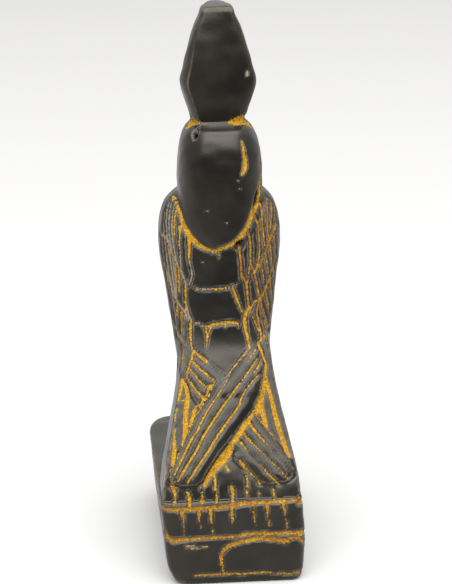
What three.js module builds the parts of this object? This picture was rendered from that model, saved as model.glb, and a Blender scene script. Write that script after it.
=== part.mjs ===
import * as THREE from 'three';

// A falcon god with a tall double crown, standing on its base, carved from one block of black stone.
// Lengths are millimetres and +Z is up. The falcon faces -Y, so its back and its tail are at +Y.
// The origin is the middle of the flat underside.

// Driving dimensions
const HEIGHT = 150;
const BASE_HEIGHT = 23.4;
const BASE_BACK = 31.1;
const BASE_FRONT = -40.2;
const BASE_LEFT = 18.5;
const BASE_RIGHT = 19.6;
const TAIL_HALF = 18.3;
const TAIL_TOP = 60;
const WAIST_HALF = 12.35;
const WING_HALF = 15.95;
const WING_TOP = 102.5;
const HOOD_HALF = 11.25;
const HOOD_HEM = 87.2;
const HOOD_TOP = 119.4;
const CROWN_HALF = 9.95;
const CROWN_FOOT = 117.5;
const CROWN_RIM = 129;
const TIP_OVER_PROUD = 1.6;
const TIP_UNDER_PROUD = 0.8;

// The middle of the underside, measured from the upright line that the crown and the head stand on.
const MIDDLE_X = (BASE_LEFT - BASE_RIGHT) / 2;
const MIDDLE_Y = (BASE_BACK + BASE_FRONT) / 2;

// Each station of a form is [height, half width, front, back], from the bottom up.
const TORSO = [
  [BASE_HEIGHT - 1, 8, -8, 20], [41, 9, -10, 18.5], [49, 9.5, -13, 17.5], [57, 10.3, -15.6, 15.5],
  [64, 11.2, -17.6, 14.5], [72, 12.3, -19, 14], [82, 13.2, -19.4, 13.6], [92, 13, -17.6, 13],
  [100, 11, -14, 12], [107, 9, -10, 10], [112, 7, -8, 8],
];
const WINGS = [
  [50, 11.5, 6, 19.6], [57.6, WAIST_HALF, 0.5, 17.2], [64.3, 13.2, -6, 15.2], [73.6, 14.5, -9.5, 14.4],
  [84.2, WING_HALF, -11, 14.2], [92.2, WING_HALF, -10.5, 13.4], [97.7, 14.4, -8.5, 11.8],
  [100.5, 12, -6, 9.5], [WING_TOP, 9.5, -3, 7],
];
const HOOD = [
  [HOOD_HEM, 1, 8, 14.7], [88, 4.6, 5, 15], [89.8, 7.4, 2, 15.3], [93, 9.6, -1, 15.5],
  [97, 10.8, -4.5, 15.5], [103, HOOD_HALF, -7.2, 15.2], [106, HOOD_HALF, -7.6, 14.9],
  [110.8, 10.96, -7.8, 14], [115.4, 10.1, -7.6, 12.4], [117.9, 8.9, -7, 10.8], [HOOD_TOP, 7.2, -6, 9.2],
];
const CUP = [
  [CROWN_FOOT, 6.7, -6.6, 8], [119.5, 7.15, -7.4, 8.5], [122, 7.75, -8.5, 9],
  [126, 8.95, -10.2, 9.8], [CROWN_RIM, 9.7, -11.2, 10.3],
];
const PANEL = [
  [125, 8.5, 0.5, 9.5], [CROWN_RIM + 1.4, CROWN_HALF, 0.5, 10.4], [135.5, 8.8, 0.9, 10.2],
  [140, 7.55, 1, 9.5], [145, 6, 0.6, 8.2], [148.2, 4.6, 0, 6.9], [HEIGHT, 3.9, -0.8, 5.8],
];
const BULB = [
  [124, 7, -8, 5], [131, 7.8, -9.8, 4], [137, 6.9, -9, 4], [142, 5.3, -7.3, 3.5],
  [145.4, 4, -5.7, 3], [147.8, 4.1, -5.2, 3.4], [HEIGHT, 3.4, -4.4, 3],
];

// The stone left standing under the tail: [height, half width, back] for its slab, and [height, nose]
// for the two slanting faces that lead from its edges in to the legs.
const TAIL = [
  [21, TAIL_HALF + 0.3, 30.9], [BASE_HEIGHT, TAIL_HALF, 30.2], [26.5, 18.2, 29.2], [30.8, 17.6, 27.7],
  [39, 15.7, 24.3], [47.5, 13.8, 20.9], [54, 12.6, 18.4], [TAIL_TOP, 12, 16.3],
];
const TAIL_NOSE = [[20, -7], [30, -7], [45, -6.5], [TAIL_TOP, -6]];
const TAIL_SLANT = 1.3;
const TAIL_LEAN = -0.25;

// Stations of the base: [height, left, right, back, front], worn round along its lower left edge.
const BASE = [
  [0, 12.8, 17.7, 30, -38.6], [0.4, 14.2, 18.2, 30.4, -39.1], [1.2, 15.2, 18.6, 30.8, -39.5],
  [2.6, 16, 19, 31, -39.8], [4.6, 16.7, 19.2, 31, -40], [8, 17.35, 19.45, BASE_BACK, BASE_FRONT + 0.1],
  [13, 17.8, BASE_RIGHT, BASE_BACK, BASE_FRONT], [19, 18.2, 19.3, BASE_BACK, BASE_FRONT],
  [22.7, BASE_LEFT, 19, 31, BASE_FRONT + 0.1], [BASE_HEIGHT, 18.3, 18.8, 30.7, BASE_FRONT + 0.3],
];
const BASE_BACK_CORNER = 2.4;
const BASE_FRONT_CORNER = [9, 15];

// The wing tips cross on the tail: [x, z] of the top and of the tip, and the half width at each.
const TIP_OVER = { top: [-9.2, 57.5], tip: [11, 30.5], widths: [4, 4.6] };
const TIP_UNDER = { top: [9, 57], tip: [-13.8, 31], widths: [3.9, 4.8] };
const TIP_EDGE = 0.9;

// The y of the line that the skin is measured out from, as [height, y].
const CORE = [[0, 6], [24, 6], [44, 6], [62, 2], [100, 0], [HEIGHT, 0.6]];
const REACH = 52;
const MARCH_STEPS = 52;
const HALVINGS = 20;

// Columns of the skin: [column, degrees] from the back round to the front, closer together on the
// back and on the beak, with a column on the back corner of the base.
const HALF_COLUMNS = 35;
const COLUMN_ANGLES = [[0, 0], [12, 37.2], [26, 150], [HALF_COLUMNS, 180]];

// Rows of the skin, as spans of [height at the top, height at the bottom, rows].
const ROW_SPANS = [
  [149.2, 131.6, 7], [130.2, 128.9, 2], [127, 121, 3], [119.5, 118.6, 2], [117.3, 103.4, 11],
  [102, 90.4, 7], [88.6, 86.8, 2], [84, 62, 7], [59.5, 26.2, 14], [24.6, BASE_HEIGHT + 0.05, 2],
];
const CAP_RINGS = [0.45, 0.82];
const CAP_RISE = HEIGHT - ROW_SPANS[0][0];

/** The value of one column of a station table at a height, on a smooth curve through the stations. */
function through(stations, height, column = 1) {
  const last = stations.length - 1;
  let i = 0;
  while (i < last - 1 && height > stations[i + 1][0]) i += 1;
  const slope = (a, b) => (stations[b][column] - stations[a][column]) / (stations[b][0] - stations[a][0]);
  const span = stations[i + 1][0] - stations[i][0];
  const t = THREE.MathUtils.clamp((height - stations[i][0]) / span, 0, 1);
  const start = slope(Math.max(i - 1, 0), i + 1) * span;
  const end = slope(i, Math.min(i + 2, last)) * span;
  const [low, high] = [stations[i][column], stations[i + 1][column]];
  const rise = t * t * (3 - 2 * t);
  return low * (1 - rise) + high * rise + t * (1 - t) ** 2 * start + t * t * (t - 1) * end;
}

/** The union of two distances, filleted over the length soft. */
function join(a, b, soft) {
  const share = THREE.MathUtils.clamp(0.5 + (b - a) / (2 * soft), 0, 1);
  return b * (1 - share) + a * share - soft * share * (1 - share);
}

/** The overlap of two distances, rounded over the length soft. */
function meet(a, b, soft) {
  return -join(-a, -b, soft);
}

/** Distance to a form whose sections are rounded rectangles between stations, with optional back bevels. */
function loft(x, y, z, stations, power, bevel = null) {
  const half = through(stations, z, 1);
  const front = through(stations, z, 2);
  const back = through(stations, z, 3);
  const depth = (back - front) / 2;
  const across = Math.abs(x / half) ** power + Math.abs((y - front - depth) / depth) ** power;
  let distance = (across ** (1 / power) - 1) * Math.min(half, depth);
  if (bevel) {
    const [sine, cosine] = [Math.sin(bevel.turn), Math.cos(bevel.turn)];
    const inset = bevel.inset * THREE.MathUtils.smoothstep(z, bevel.from, bevel.to);
    const slant = (Math.abs(x) - Math.max(half - inset, 0.3)) * sine + (y - back) * cosine;
    distance = meet(meet(distance, slant, bevel.soft), y - back, bevel.soft);
  }
  return Math.max(distance, z - stations[stations.length - 1][0], stations[0][0] - z);
}

/** Distance to an ellipsoid. */
function ball(x, y, z, centre, radii) {
  const q = Math.hypot((x - centre[0]) / radii[0], (y - centre[1]) / radii[1], (z - centre[2]) / radii[2]);
  return (q - 1) * Math.min(...radii);
}

/** Distance to a rod with round ends that tapers from one radius to another. */
function rod(x, y, z, from, to, radii) {
  const along = to.map((value, i) => value - from[i]);
  const offset = [x - from[0], y - from[1], z - from[2]];
  const dot = (a, b) => a[0] * b[0] + a[1] * b[1] + a[2] * b[2];
  const t = THREE.MathUtils.clamp(dot(offset, along) / dot(along, along), 0, 1);
  return Math.hypot(...offset.map((value, i) => value - t * along[i])) - THREE.MathUtils.lerp(...radii, t);
}

/** How far a crossing wing tip stands out of the back at a point of the back view, from 0 to 1. */
function tipCover(x, z, { top, tip, widths }) {
  const [run, drop] = [tip[0] - top[0], tip[1] - top[1]];
  const along = ((x - top[0]) * run + (z - top[1]) * drop) / (run * run + drop * drop);
  const t = THREE.MathUtils.clamp(along, 0, 1);
  const off = Math.hypot(x - top[0] - t * run, z - top[1] - t * drop);
  return THREE.MathUtils.smoothstep(THREE.MathUtils.lerp(...widths, t) - off, -TIP_EDGE, TIP_EDGE);
}

/** Both crossing tips, which rise out of the back below the waist. */
function tipRelief(x, y, z) {
  const over = TIP_OVER_PROUD * tipCover(x, z, TIP_OVER);
  const under = TIP_UNDER_PROUD * tipCover(x, z, TIP_UNDER);
  const belowWaist = 1 - THREE.MathUtils.smoothstep(z, 55, 62);
  return Math.max(over, under) * belowWaist * THREE.MathUtils.clamp((y - 12) / 4, 0, 1);
}

/** Distance to the slab of the tail, with the slanting faces that lead in to the legs. */
function tailSlab(x, y, z) {
  const side = Math.abs(x - TAIL_LEAN);
  const edge = meet(side - through(TAIL, z, 1), y - through(TAIL, z, 2), 0.8);
  const slant = (TAIL_SLANT * side + through(TAIL_NOSE, z) - y) / Math.hypot(1, TAIL_SLANT);
  return Math.max(meet(edge, slant, 1.5), z - TAIL_TOP);
}

/** Distance to the falcon's face: its mask, the ridge over each eye and the hooked beak. */
function face(x, y, z) {
  const side = Math.abs(x);
  const mask = ball(x, y, z, [0, -4.6, 109.4], [9.6, 10, 10.2]);
  const brow = rod(side, y, z, [1.2, -13.6, 112.6], [7.8, -9.6, 113.2], [1.5, 1.3]);
  const beakRoot = rod(x * 1.1, y, z, [0, -10.5, 110], [0, -15.2, 109.2], [5.2, 3.4]);
  const beakHook = rod(x * 1.25, y, z, [0, -15.2, 109.2], [0, -17.6, 104], [3.4, 1]);
  return join(join(mask, brow, 1.6), join(beakRoot, beakHook, 1.8), 1.2);
}

/** Distance to both legs: the feathered thigh, the shin and the foot. */
function legs(x, y, z) {
  const side = Math.abs(x);
  const thigh = ball(side, y, z, [5.2, -10.5, 47.5], [5.9, 7.6, 14]);
  const shin = rod(side, y, z, [5.4, -12, 39], [5.8, -14.5, 26.5], [4.6, 3.6]);
  const foot = ball(side, y, z, [6.3, -19.5, 23.6], [4.7, 9.5, 4.4]);
  return join(join(thigh, shin, 2), foot, 1.2);
}

/** Distance to the double crown: the flaring cup, the tall back panel and the bulb in front of it. */
function crown(x, y, z) {
  const turn = THREE.MathUtils.degToRad(50);
  const cup = loft(x, y, z, CUP, 2.6, { turn, inset: 2.6, from: 110, to: 119, soft: 0.4 });
  const panel = loft(x, y, z, PANEL, 3.2, { turn, inset: 2, from: 110, to: 119, soft: 0.4 });
  return join(join(cup, panel, 0.3), loft(x, y, z, BULB, 2.1), 0.3);
}

/** Distance to everything that stands on the base. */
function figure(x, y, z) {
  const sunk = y - tipRelief(x, y, z);
  const turn = THREE.MathUtils.degToRad(53);
  const wings = loft(x, sunk, z, WINGS, 2.7);
  const body = join(join(loft(x, y, z, TORSO, 2.2), wings, 0.5), tailSlab(x, sunk, z), 1.5);
  const hood = loft(x, y, z, HOOD, 2.7, { turn, inset: 4.2, from: 88, to: 100, soft: 0.7 });
  const head = join(join(body, hood, 0.25), face(x, y, z), 0.6);
  return join(join(head, legs(x, y, z), 1.5), crown(x, y, z), 0.3);
}

/** Distance to the base: a slab with tight back corners and long round front corners. */
function base(x, y, z) {
  const [left, right, back, front] = [1, 2, 3, 4].map((column) => through(BASE, z, column));
  const halfWidth = (left + right) / 2;
  const halfDepth = (back - front) / 2;
  const across = Math.abs(x - (left - right) / 2);
  const along = Math.abs(y - (back + front) / 2);
  const inFront = y < (back + front) / 2;
  const [rx, ry] = inFront ? BASE_FRONT_CORNER : [BASE_BACK_CORNER, BASE_BACK_CORNER];
  const [qx, qy] = [(across - halfWidth + rx) / rx, (along - halfDepth + ry) / ry];
  if (qx > 0 && qy > 0) return (Math.hypot(qx, qy) - 1) * Math.min(rx, ry);
  return Math.max(across - halfWidth, along - halfDepth);
}

/** The outermost point of a form on a level line out from the core at an angle from the back. */
function skinPoint(form, angle, z) {
  const core = through(CORE, z);
  const at = (r) => [r * Math.sin(angle), core + r * Math.cos(angle), z];
  let outside = REACH;
  let inside = 0;
  for (let i = 1; i < MARCH_STEPS; i += 1) {
    inside = REACH * (1 - i / MARCH_STEPS);
    if (form(...at(inside)) < 0) break;
    outside = inside;
  }
  for (let i = 0; i < HALVINGS; i += 1) {
    const middle = (inside + outside) / 2;
    if (form(...at(middle)) < 0) inside = middle;
    else outside = middle;
  }
  return new THREE.Vector3(...at((inside + outside) / 2));
}

/** The angles of all columns, from the back round both sides to the front. */
function columnAngles() {
  const angles = [];
  for (let i = -HALF_COLUMNS; i < HALF_COLUMNS; i += 1) {
    angles.push(Math.sign(i) * THREE.MathUtils.degToRad(through(COLUMN_ANGLES, Math.abs(i))));
  }
  return angles;
}

/** The heights of the figure's rows, from the crown down to the top of the base. */
function figureHeights() {
  return ROW_SPANS.flatMap(([top, bottom, rows]) =>
    Array.from({ length: rows }, (_, i) => THREE.MathUtils.lerp(top, bottom, i / (rows - 1))));
}

/** The rings of the skin between its two poles, from the crown's cap down to the underside. */
function skinRings() {
  const angles = columnAngles();
  const ringAt = (form, z) => angles.map((angle) => skinPoint(form, angle, z));
  const figureRings = figureHeights().map((z) => ringAt(figure, z));
  const baseRings = [...BASE].reverse().map(([z]) => ringAt(base, z));
  const brow = figureRings[0];
  const centre = new THREE.Vector3(0, through(CORE, HEIGHT), brow[0].z);
  const capRings = CAP_RINGS.map((share) => brow.map((point) => {
    const capPoint = centre.clone().lerp(point, share);
    capPoint.z += CAP_RISE * (1 - share * share);
    return capPoint;
  }));
  const foot = figureRings[figureRings.length - 1].map((point) => point.clone().setZ(BASE_HEIGHT));
  const ledge = foot.map((point, i) => point.clone().lerp(baseRings[0][i], 0.5));
  return [...capRings, ...figureRings, foot, ledge, ...baseRings];
}

/** One closed geometry from a pole, its rings and a second pole, each quad cut on its shorter diagonal. */
function closedSkin(topPole, rings, bottomPole) {
  const columns = rings[0].length;
  const points = [topPole, ...rings.flat(), bottomPole];
  const vertex = (ring, column) => 1 + ring * columns + (column % columns);
  const index = [];
  for (let c = 0; c < columns; c += 1) {
    index.push(0, vertex(0, c + 1), vertex(0, c));
    index.push(points.length - 1, vertex(rings.length - 1, c), vertex(rings.length - 1, c + 1));
  }
  for (let r = 0; r < rings.length - 1; r += 1) {
    for (let c = 0; c < columns; c += 1) {
      const [a, b, d, e] = [vertex(r, c), vertex(r, c + 1), vertex(r + 1, c), vertex(r + 1, c + 1)];
      if (points[a].distanceTo(points[e]) < points[b].distanceTo(points[d])) index.push(a, e, d, a, b, e);
      else index.push(a, b, d, b, e, d);
    }
  }
  const geometry = new THREE.BufferGeometry().setFromPoints(points);
  geometry.setIndex(index);
  geometry.computeVertexNormals();
  return geometry;
}

const topPole = new THREE.Vector3(0, through(CORE, HEIGHT), HEIGHT);
const bottomPole = new THREE.Vector3(0, through(CORE, 0), 0);
const stone = new THREE.MeshStandardMaterial({ color: 0x2b2a26, roughness: 0.42, metalness: 0 });
const falcon = new THREE.Mesh(closedSkin(topPole, skinRings(), bottomPole), stone);
falcon.name = 'falcon_statue';
falcon.position.set(-MIDDLE_X, -MIDDLE_Y, 0);

const statue = new THREE.Group();
statue.add(falcon);
export default statue;
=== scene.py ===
# %% [markdown]
# # A falcon god with a tall double crown, seen from behind
#
# The real object is a hand-carved souvenir, about 150 mm tall, cut from one block of soft black stone with
# its base. The carver sawed and rasped the outline, cut every feather with a few strokes of a small chisel,
# polished the skin with wax, and rubbed yellow ochre into the cuts. So the model is one closed skin as
# well: first the smooth body as the rasp left it, then the chisel strokes pressed into it, then a stone
# that knows where the strokes are.

import math

import bpy
import numpy as np
from mathutils import Matrix, Vector


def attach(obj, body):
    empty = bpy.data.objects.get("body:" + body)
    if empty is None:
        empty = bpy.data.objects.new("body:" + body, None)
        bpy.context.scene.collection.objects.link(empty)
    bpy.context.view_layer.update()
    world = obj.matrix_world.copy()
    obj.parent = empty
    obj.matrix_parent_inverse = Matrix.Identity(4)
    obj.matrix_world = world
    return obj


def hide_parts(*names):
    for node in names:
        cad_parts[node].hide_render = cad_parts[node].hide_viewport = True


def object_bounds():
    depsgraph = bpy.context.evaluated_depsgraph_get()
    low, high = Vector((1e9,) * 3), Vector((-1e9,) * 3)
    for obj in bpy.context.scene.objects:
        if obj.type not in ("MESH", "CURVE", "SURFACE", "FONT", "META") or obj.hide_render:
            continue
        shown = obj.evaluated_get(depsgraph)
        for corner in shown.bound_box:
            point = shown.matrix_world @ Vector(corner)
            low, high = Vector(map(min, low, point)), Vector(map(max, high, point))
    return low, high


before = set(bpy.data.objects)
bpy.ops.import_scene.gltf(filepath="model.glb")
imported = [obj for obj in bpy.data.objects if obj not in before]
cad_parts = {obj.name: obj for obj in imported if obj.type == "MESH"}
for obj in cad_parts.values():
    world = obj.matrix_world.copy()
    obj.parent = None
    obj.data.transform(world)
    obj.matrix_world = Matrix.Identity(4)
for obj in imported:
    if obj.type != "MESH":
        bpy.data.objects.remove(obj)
cad_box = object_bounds()
MM = 0.001
print("frame box in mm", [[round(v / MM, 1) for v in corner] for corner in cad_box])

# %% [markdown]
# ## Two sets of axes
#
# The frame stands on the middle of its underside. It is easier to carve from the upright line that the head
# and the crown stand on, with the falcon facing -Y, so all shapes below are written from that line in
# millimetres, and the finished skin is shifted and scaled once, at the end.

# %% Sizes that the shapes share
HEIGHT = (cad_box[1].z - cad_box[0].z) / MM
BASE_TOP = 23.4
HEAD_LINE = np.array([0.55, 4.55, 0.0])
print("height", round(HEIGHT, 1), "mm, head line at", HEAD_LINE)

# %% [markdown]
# ## The camera first
#
# The photograph was taken from behind, a little to the falcon's left and from above, with a long lens. The
# same camera is also used as a pencil: a stroke that is read off the photograph as a few pixels is carried
# along the lines of sight until it lands on the body. So the camera is worked out with plain vectors before
# Blender gets it.

# %% Camera vectors
PHOTO_SIZE = np.array([452, 584])
AZIMUTH = 175.64
ELEVATION = 16.84
ROLL = -0.78
DISTANCE = 700.0
FOCAL_PIXELS = 2602.4
AIM = np.array([-1.69, 0.0, 71.57])
SENSOR = 36.0

a, e, r = np.radians([AZIMUTH, ELEVATION, ROLL])
toward_camera = np.array([math.sin(a) * math.cos(e), -math.cos(a) * math.cos(e), math.sin(e)])
eye = AIM + DISTANCE * toward_camera
level = np.cross(-toward_camera, [0.0, 0.0, 1.0])
level /= np.linalg.norm(level)
rise = np.cross(level, -toward_camera)
right = math.cos(r) * level + math.sin(r) * rise
up = math.cos(r) * rise - math.sin(r) * level
PIXEL = DISTANCE / FOCAL_PIXELS
print("eye", eye.round(1), "one pixel on the statue is", round(PIXEL, 3), "mm")


# %% The camera in Blender
def make_camera():
    """Columns right, up and back make the camera's turn; the picture's long side takes the whole sensor."""
    data = bpy.data.cameras.new("photo_camera")
    data.lens = FOCAL_PIXELS * SENSOR / PHOTO_SIZE.max()
    data.sensor_width = SENSOR
    data.clip_start = 0.01
    camera = bpy.data.objects.new("photo_camera", data)
    turn = Matrix(np.array([right, up, toward_camera]).T.tolist()).to_4x4()
    camera.matrix_world = Matrix.Translation(Vector((eye + HEAD_LINE) * MM)) @ turn
    bpy.context.scene.collection.objects.link(camera)
    bpy.context.scene.camera = camera
    return camera


camera = make_camera()
print("lens", round(camera.data.lens, 1), "mm")

# %% [markdown]
# ## A body from a few measured stations
#
# A carver checks a figure at a few heights: so wide, so far forward, so far back. Each form here is a short
# table of such stations, and a smooth curve runs through them. Every form answers one question for any
# point in space: how far is it outside (positive) or inside (negative). Forms are then joined by taking the
# smaller answer, with a small fillet where they meet, just as a rasp leaves a soft inner corner. This is
# easier than editing vertices, because the falcon's wings, wig and crown can overlap freely and still give
# one clean skin.


# %% Curves and joins
def through(at, knots, values):
    """A smooth curve through the values at the knots: cubic pieces with the slope between a knot's neighbours."""
    k = np.asarray(knots, float)
    v = np.asarray(values, float)
    slope = np.concatenate([[(v[1] - v[0]) / (k[1] - k[0])], (v[2:] - v[:-2]) / (k[2:] - k[:-2]),
                            [(v[-1] - v[-2]) / (k[-1] - k[-2])]])
    i = np.clip(np.searchsorted(k, at) - 1, 0, len(k) - 2)
    h = k[i + 1] - k[i]
    t = np.clip((at - k[i]) / h, 0, 1)
    start = (1 + 2 * t) * (1 - t) ** 2 * v[i] + t * (1 - t) ** 2 * h * slope[i]
    return start + t * t * (3 - 2 * t) * v[i + 1] + t * t * (t - 1) * h * slope[i + 1]


def step(low, high, t):
    """Nought below low, one above high, and a smooth S between them."""
    t = np.clip((t - low) / (high - low), 0, 1)
    return t * t * (3 - 2 * t)


def join(a, b, fillet):
    """The union of two forms: the smaller distance, rounded over the fillet."""
    h = np.clip(0.5 + 0.5 * (b - a) / fillet, 0, 1)
    return b * (1 - h) + a * h - fillet * h * (1 - h)


def meet(a, b, fillet):
    """What two forms have in common: the larger distance, rounded over the fillet."""
    return -join(-a, -b, fillet)


# %% Three kinds of form
def loft(x, y, z, stations, power, bevel=None, soft=0.4):
    """A rounded section |x/half|^p + |y/depth|^p = 1 carried up the stations [height, half width, front, back].
    A bevel (angle, inset, radius, from, to, share) rounds the back corners by an arc that starts at the angle, the
    inset away from the side, and sets in between two heights. On the -x side only a share of the inset is taken."""
    heights, halves, fronts, backs = np.array(stations, float).T
    half = np.maximum(through(z, heights, halves), 0.05)
    front = through(z, heights, fronts)
    back = through(z, heights, backs)
    depth = np.maximum((back - front) / 2, 0.05)
    reach = (np.abs(x / half) ** power + np.abs((y - (back + front) / 2) / depth) ** power) ** (1 / power)
    d = (reach - 1) * np.minimum(half, depth)
    if bevel:
        angle, inset, radius, low, high, share = bevel
        inset = inset * step(low, high, z) * np.where(x > 0, 1, share)
        across = np.abs(x) - np.maximum(half - inset, 0.3) + radius * math.sin(math.radians(angle))
        along_y = y - back + radius * math.cos(math.radians(angle))
        d = meet(d, np.hypot(np.maximum(across, 0), np.maximum(along_y, 0)) - radius, soft)
        d = meet(d, y - back, soft)
    return np.maximum(d, np.maximum(z - heights[-1], heights[0] - z))


def rod(x, y, z, start, end, radius, end_radius):
    """The distance to a straight line, less a radius that tapers along it."""
    start = np.array(start)
    run = np.array(end) - start
    t = np.clip(((x - start[0]) * run[0] + (y - start[1]) * run[1] + (z - start[2]) * run[2]) / (run @ run), 0, 1)
    away = np.sqrt((x - start[0] - t * run[0]) ** 2 + (y - start[1] - t * run[1]) ** 2
                   + (z - start[2] - t * run[2]) ** 2)
    return away - (radius + (end_radius - radius) * t)


def ball(x, y, z, centre, radii):
    """An egg shape: the scaled distance from its centre, less one."""
    q = np.sqrt(((x - centre[0]) / radii[0]) ** 2 + ((y - centre[1]) / radii[1]) ** 2
                + ((z - centre[2]) / radii[2]) ** 2)
    return (q - 1) * min(radii)


# %% [markdown]
# ## The falcon's stations
#
# Read from the outline in the photograph, from the bottom up: the body, the folded wings that stand a
# little proud of it, the wig that hangs over the shoulders, and the crown, which is a flaring cup, a flat
# back panel that leans in, and the tall bulb in front of it.

# %% Stations of the upright forms: height, half width, front, back
TORSO = [
    [22.4, 8, -8, 20], [41, 9, -10, 18.5], [49, 9.5, -13, 17.5], [57, 10.3, -15.6, 15.5],
    [64, 11.2, -17.6, 14.5], [72, 12.3, -19, 14], [82, 13.2, -19.4, 13.6], [92, 13, -17.6, 13],
    [100, 11, -14, 12], [107, 9, -10, 10], [112, 7, -8, 8],
]
WINGS = [
    [50, 11.5, 6, 19.6], [57.6, 12.35, 0.5, 16.9], [61, 12.75, -2.8, 15.5], [64.3, 13.2, -6, 14.8],
    [73.6, 14.5, -9.5, 14.4],
    [84.2, 15.95, -11, 14.2], [92.2, 15.95, -10.5, 13.4], [97.7, 14.4, -8.5, 11.8],
    [100.5, 12, -6, 9.5], [102.5, 9.5, -3, 7],
]
HOOD = [
    [87.2, 1, 8, 14.7], [88, 4.6, 5, 15], [89.8, 7.4, 2, 15.3], [93, 9.6, -1, 15.5],
    [97, 10.8, -4.5, 15.5], [103, 11.25, -7.2, 15.4], [107, 11.25, -7.7, 15.3], [111.5, 10.9, -7.8, 15.05],
    [115.2, 10.15, -7.6, 14.45], [117.6, 9.1, -7, 13.6], [118.8, 8.1, -6.4, 12.6], [119.4, 7.2, -6, 11.4],
]
CUP = [
    [117.5, 6.7, -6.6, 5.6], [119.5, 7.15, -7.4, 5.9], [122, 7.75, -8.5, 6.3],
    [126, 8.95, -10.2, 7], [129, 9.7, -11.2, 7.4],
]
PANEL = [
    [117.5, 6.5, 0.5, 5.2], [122, 7.6, 0.5, 6.1], [126, 8.85, 0.5, 6.9], [130.4, 9.95, 0.5, 7.4],
    [135.5, 8.8, 0.4, 7.5], [140, 7.55, 0.2, 7.3], [145, 6, -0.2, 6.9], [148.2, 4.6, -0.6, 6.5],
    [152, 3.9, -0.8, 5.9],
]
BULB = [
    [124, 7, -8, 5], [131, 7.8, -9.8, 4], [137, 6.9, -9, 4], [142, 5.3, -7.3, 3.5],
    [145.4, 3.9, -5.7, 3], [147.8, 3.5, -5, 3.4], [152, 2.9, -4, 3],
]
HOOD_BEVEL = (42, 4.2, 13, 88, 100, 0.85)
CUP_BEVEL = (40, 2.5, 7.4, 110, 119, 0.4)
PANEL_BEVEL = (50, 1.9, 8.4, 150, 132, 0.15)


def upright(x, y, z):
    """Body, wings, wig and crown, joined with small fillets."""
    d = loft(x, y, z, TORSO, 2.2)
    d = join(d, loft(x, y, z, WINGS, 2.7), 0.5)
    d = join(d, loft(x, y, z, HOOD, 2.7, HOOD_BEVEL, 0.7), 0.25)
    d = join(d, loft(x, y, z, CUP, 2.6, CUP_BEVEL), 0.3)
    d = join(d, loft(x, y, z, PANEL, 4.5, PANEL_BEVEL), 0.3)
    return join(d, loft(x, y, z, BULB, 2.1), 0.3)


# %% [markdown]
# ## Tail, face and legs
#
# The tail feathers spread into a wide slab that leans back until it is as wide as the base. In plan its
# front faces slant forward to the legs, so that no corner is out of sight from the middle of the figure.
# The face, the hooked beak and the legs are on the side that the photograph doesn't show, so they are
# plain, rounded forms in keeping.

# %% The tail slab, the face and the legs
TAIL = [
    [21, 18.6, 30], [23.4, 18.3, 29.6], [26.5, 18.2, 28.9], [30.8, 17.6, 27.6], [39, 15.7, 24.3],
    [47.5, 13.8, 20.9], [54, 12.5, 18.3], [58, 12, 16.75], [62, 11.5, 15.2], [66, 11.2, 14], [72, 11, 12.2],
]
TAIL_NOSE = [[20, -7], [30, -7], [45, -6.5], [60, -5], [72, 0]]
TAIL_SLANT = 1.3
TAIL_LEAN = 0.25


def tail(x, y, z):
    """A slab of given half width and back line at each height, cut by two planes that slant forward to the legs."""
    heights, halves, backs = np.array(TAIL).T
    nose = through(z, *np.array(TAIL_NOSE).T)
    slant = (TAIL_SLANT * np.abs(x) + nose - y) / math.hypot(1, TAIL_SLANT)
    slab = meet(np.abs(x + TAIL_LEAN) - through(z, heights, halves), y - through(z, heights, backs), 0.8)
    return np.maximum(meet(slab, slant, 1.5), z - heights[-1])


def face(x, y, z):
    """A ball for the head, two brow ridges, and a beak that hooks down."""
    d = ball(x, y, z, (0, -4.6, 109.4), (9.6, 10, 10.2))
    d = join(d, rod(np.abs(x), y, z, (1.2, -13.4, 112.4), (7.8, -9.6, 113), 1.3, 1.1), 1.6)
    beak = rod(x * 1.1, y, z, (0, -10.5, 110), (0, -15.2, 109.2), 5.2, 3.4)
    return join(d, join(beak, rod(x * 1.25, y, z, (0, -15.2, 109.2), (0, -17.6, 104), 3.4, 1), 1.8), 1.2)


def legs(x, y, z):
    """Feathered thighs, straight shins and long flat feet, the same on both sides."""
    side = np.abs(x)
    d = ball(side, y, z, (5.2, -10.5, 47.5), (5.9, 7.6, 14))
    d = join(d, rod(side, y, z, (5.4, -12, 39), (5.8, -14.5, 26.5), 4.6, 3.6), 2)
    return join(d, ball(side, y, z, (6.3, -19.5, 23.6), (4.7, 9.5, 4.4)), 1.2)


CROWN_TOP = HEIGHT + 0.4
CROWN_ROUND = 1.6


def figure(x, y, z):
    """The whole bird as one form, with the crown's top rubbed round."""
    d = join(upright(x, y, z), tail(x, y, z), 1.5)
    d = join(join(d, face(x, y, z), 0.6), legs(x, y, z), 1.5)
    return meet(d, z - CROWN_TOP, CROWN_ROUND)


# %% The base: height, left, right, back and front of each station
BASE = [
    [0, 12.8, 17.7, 30, -38.6], [0.4, 14.2, 18.2, 30.4, -39.1], [1.2, 15.2, 18.6, 30.8, -39.5],
    [2.6, 16, 19, 31, -39.8], [4.6, 16.7, 19.2, 31, -40], [8, 17.35, 19.45, 31.1, -40.1],
    [13, 17.8, 19.6, 31.1, -40.2], [19, 18.2, 19.3, 31.1, -40.2], [22.7, 18.5, 19, 31, -40.1],
    [23.4, 18.3, 18.8, 30.7, -39.9],
]
BACK_CORNER = 2.4
FRONT_CORNER = (9, 15)


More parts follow.
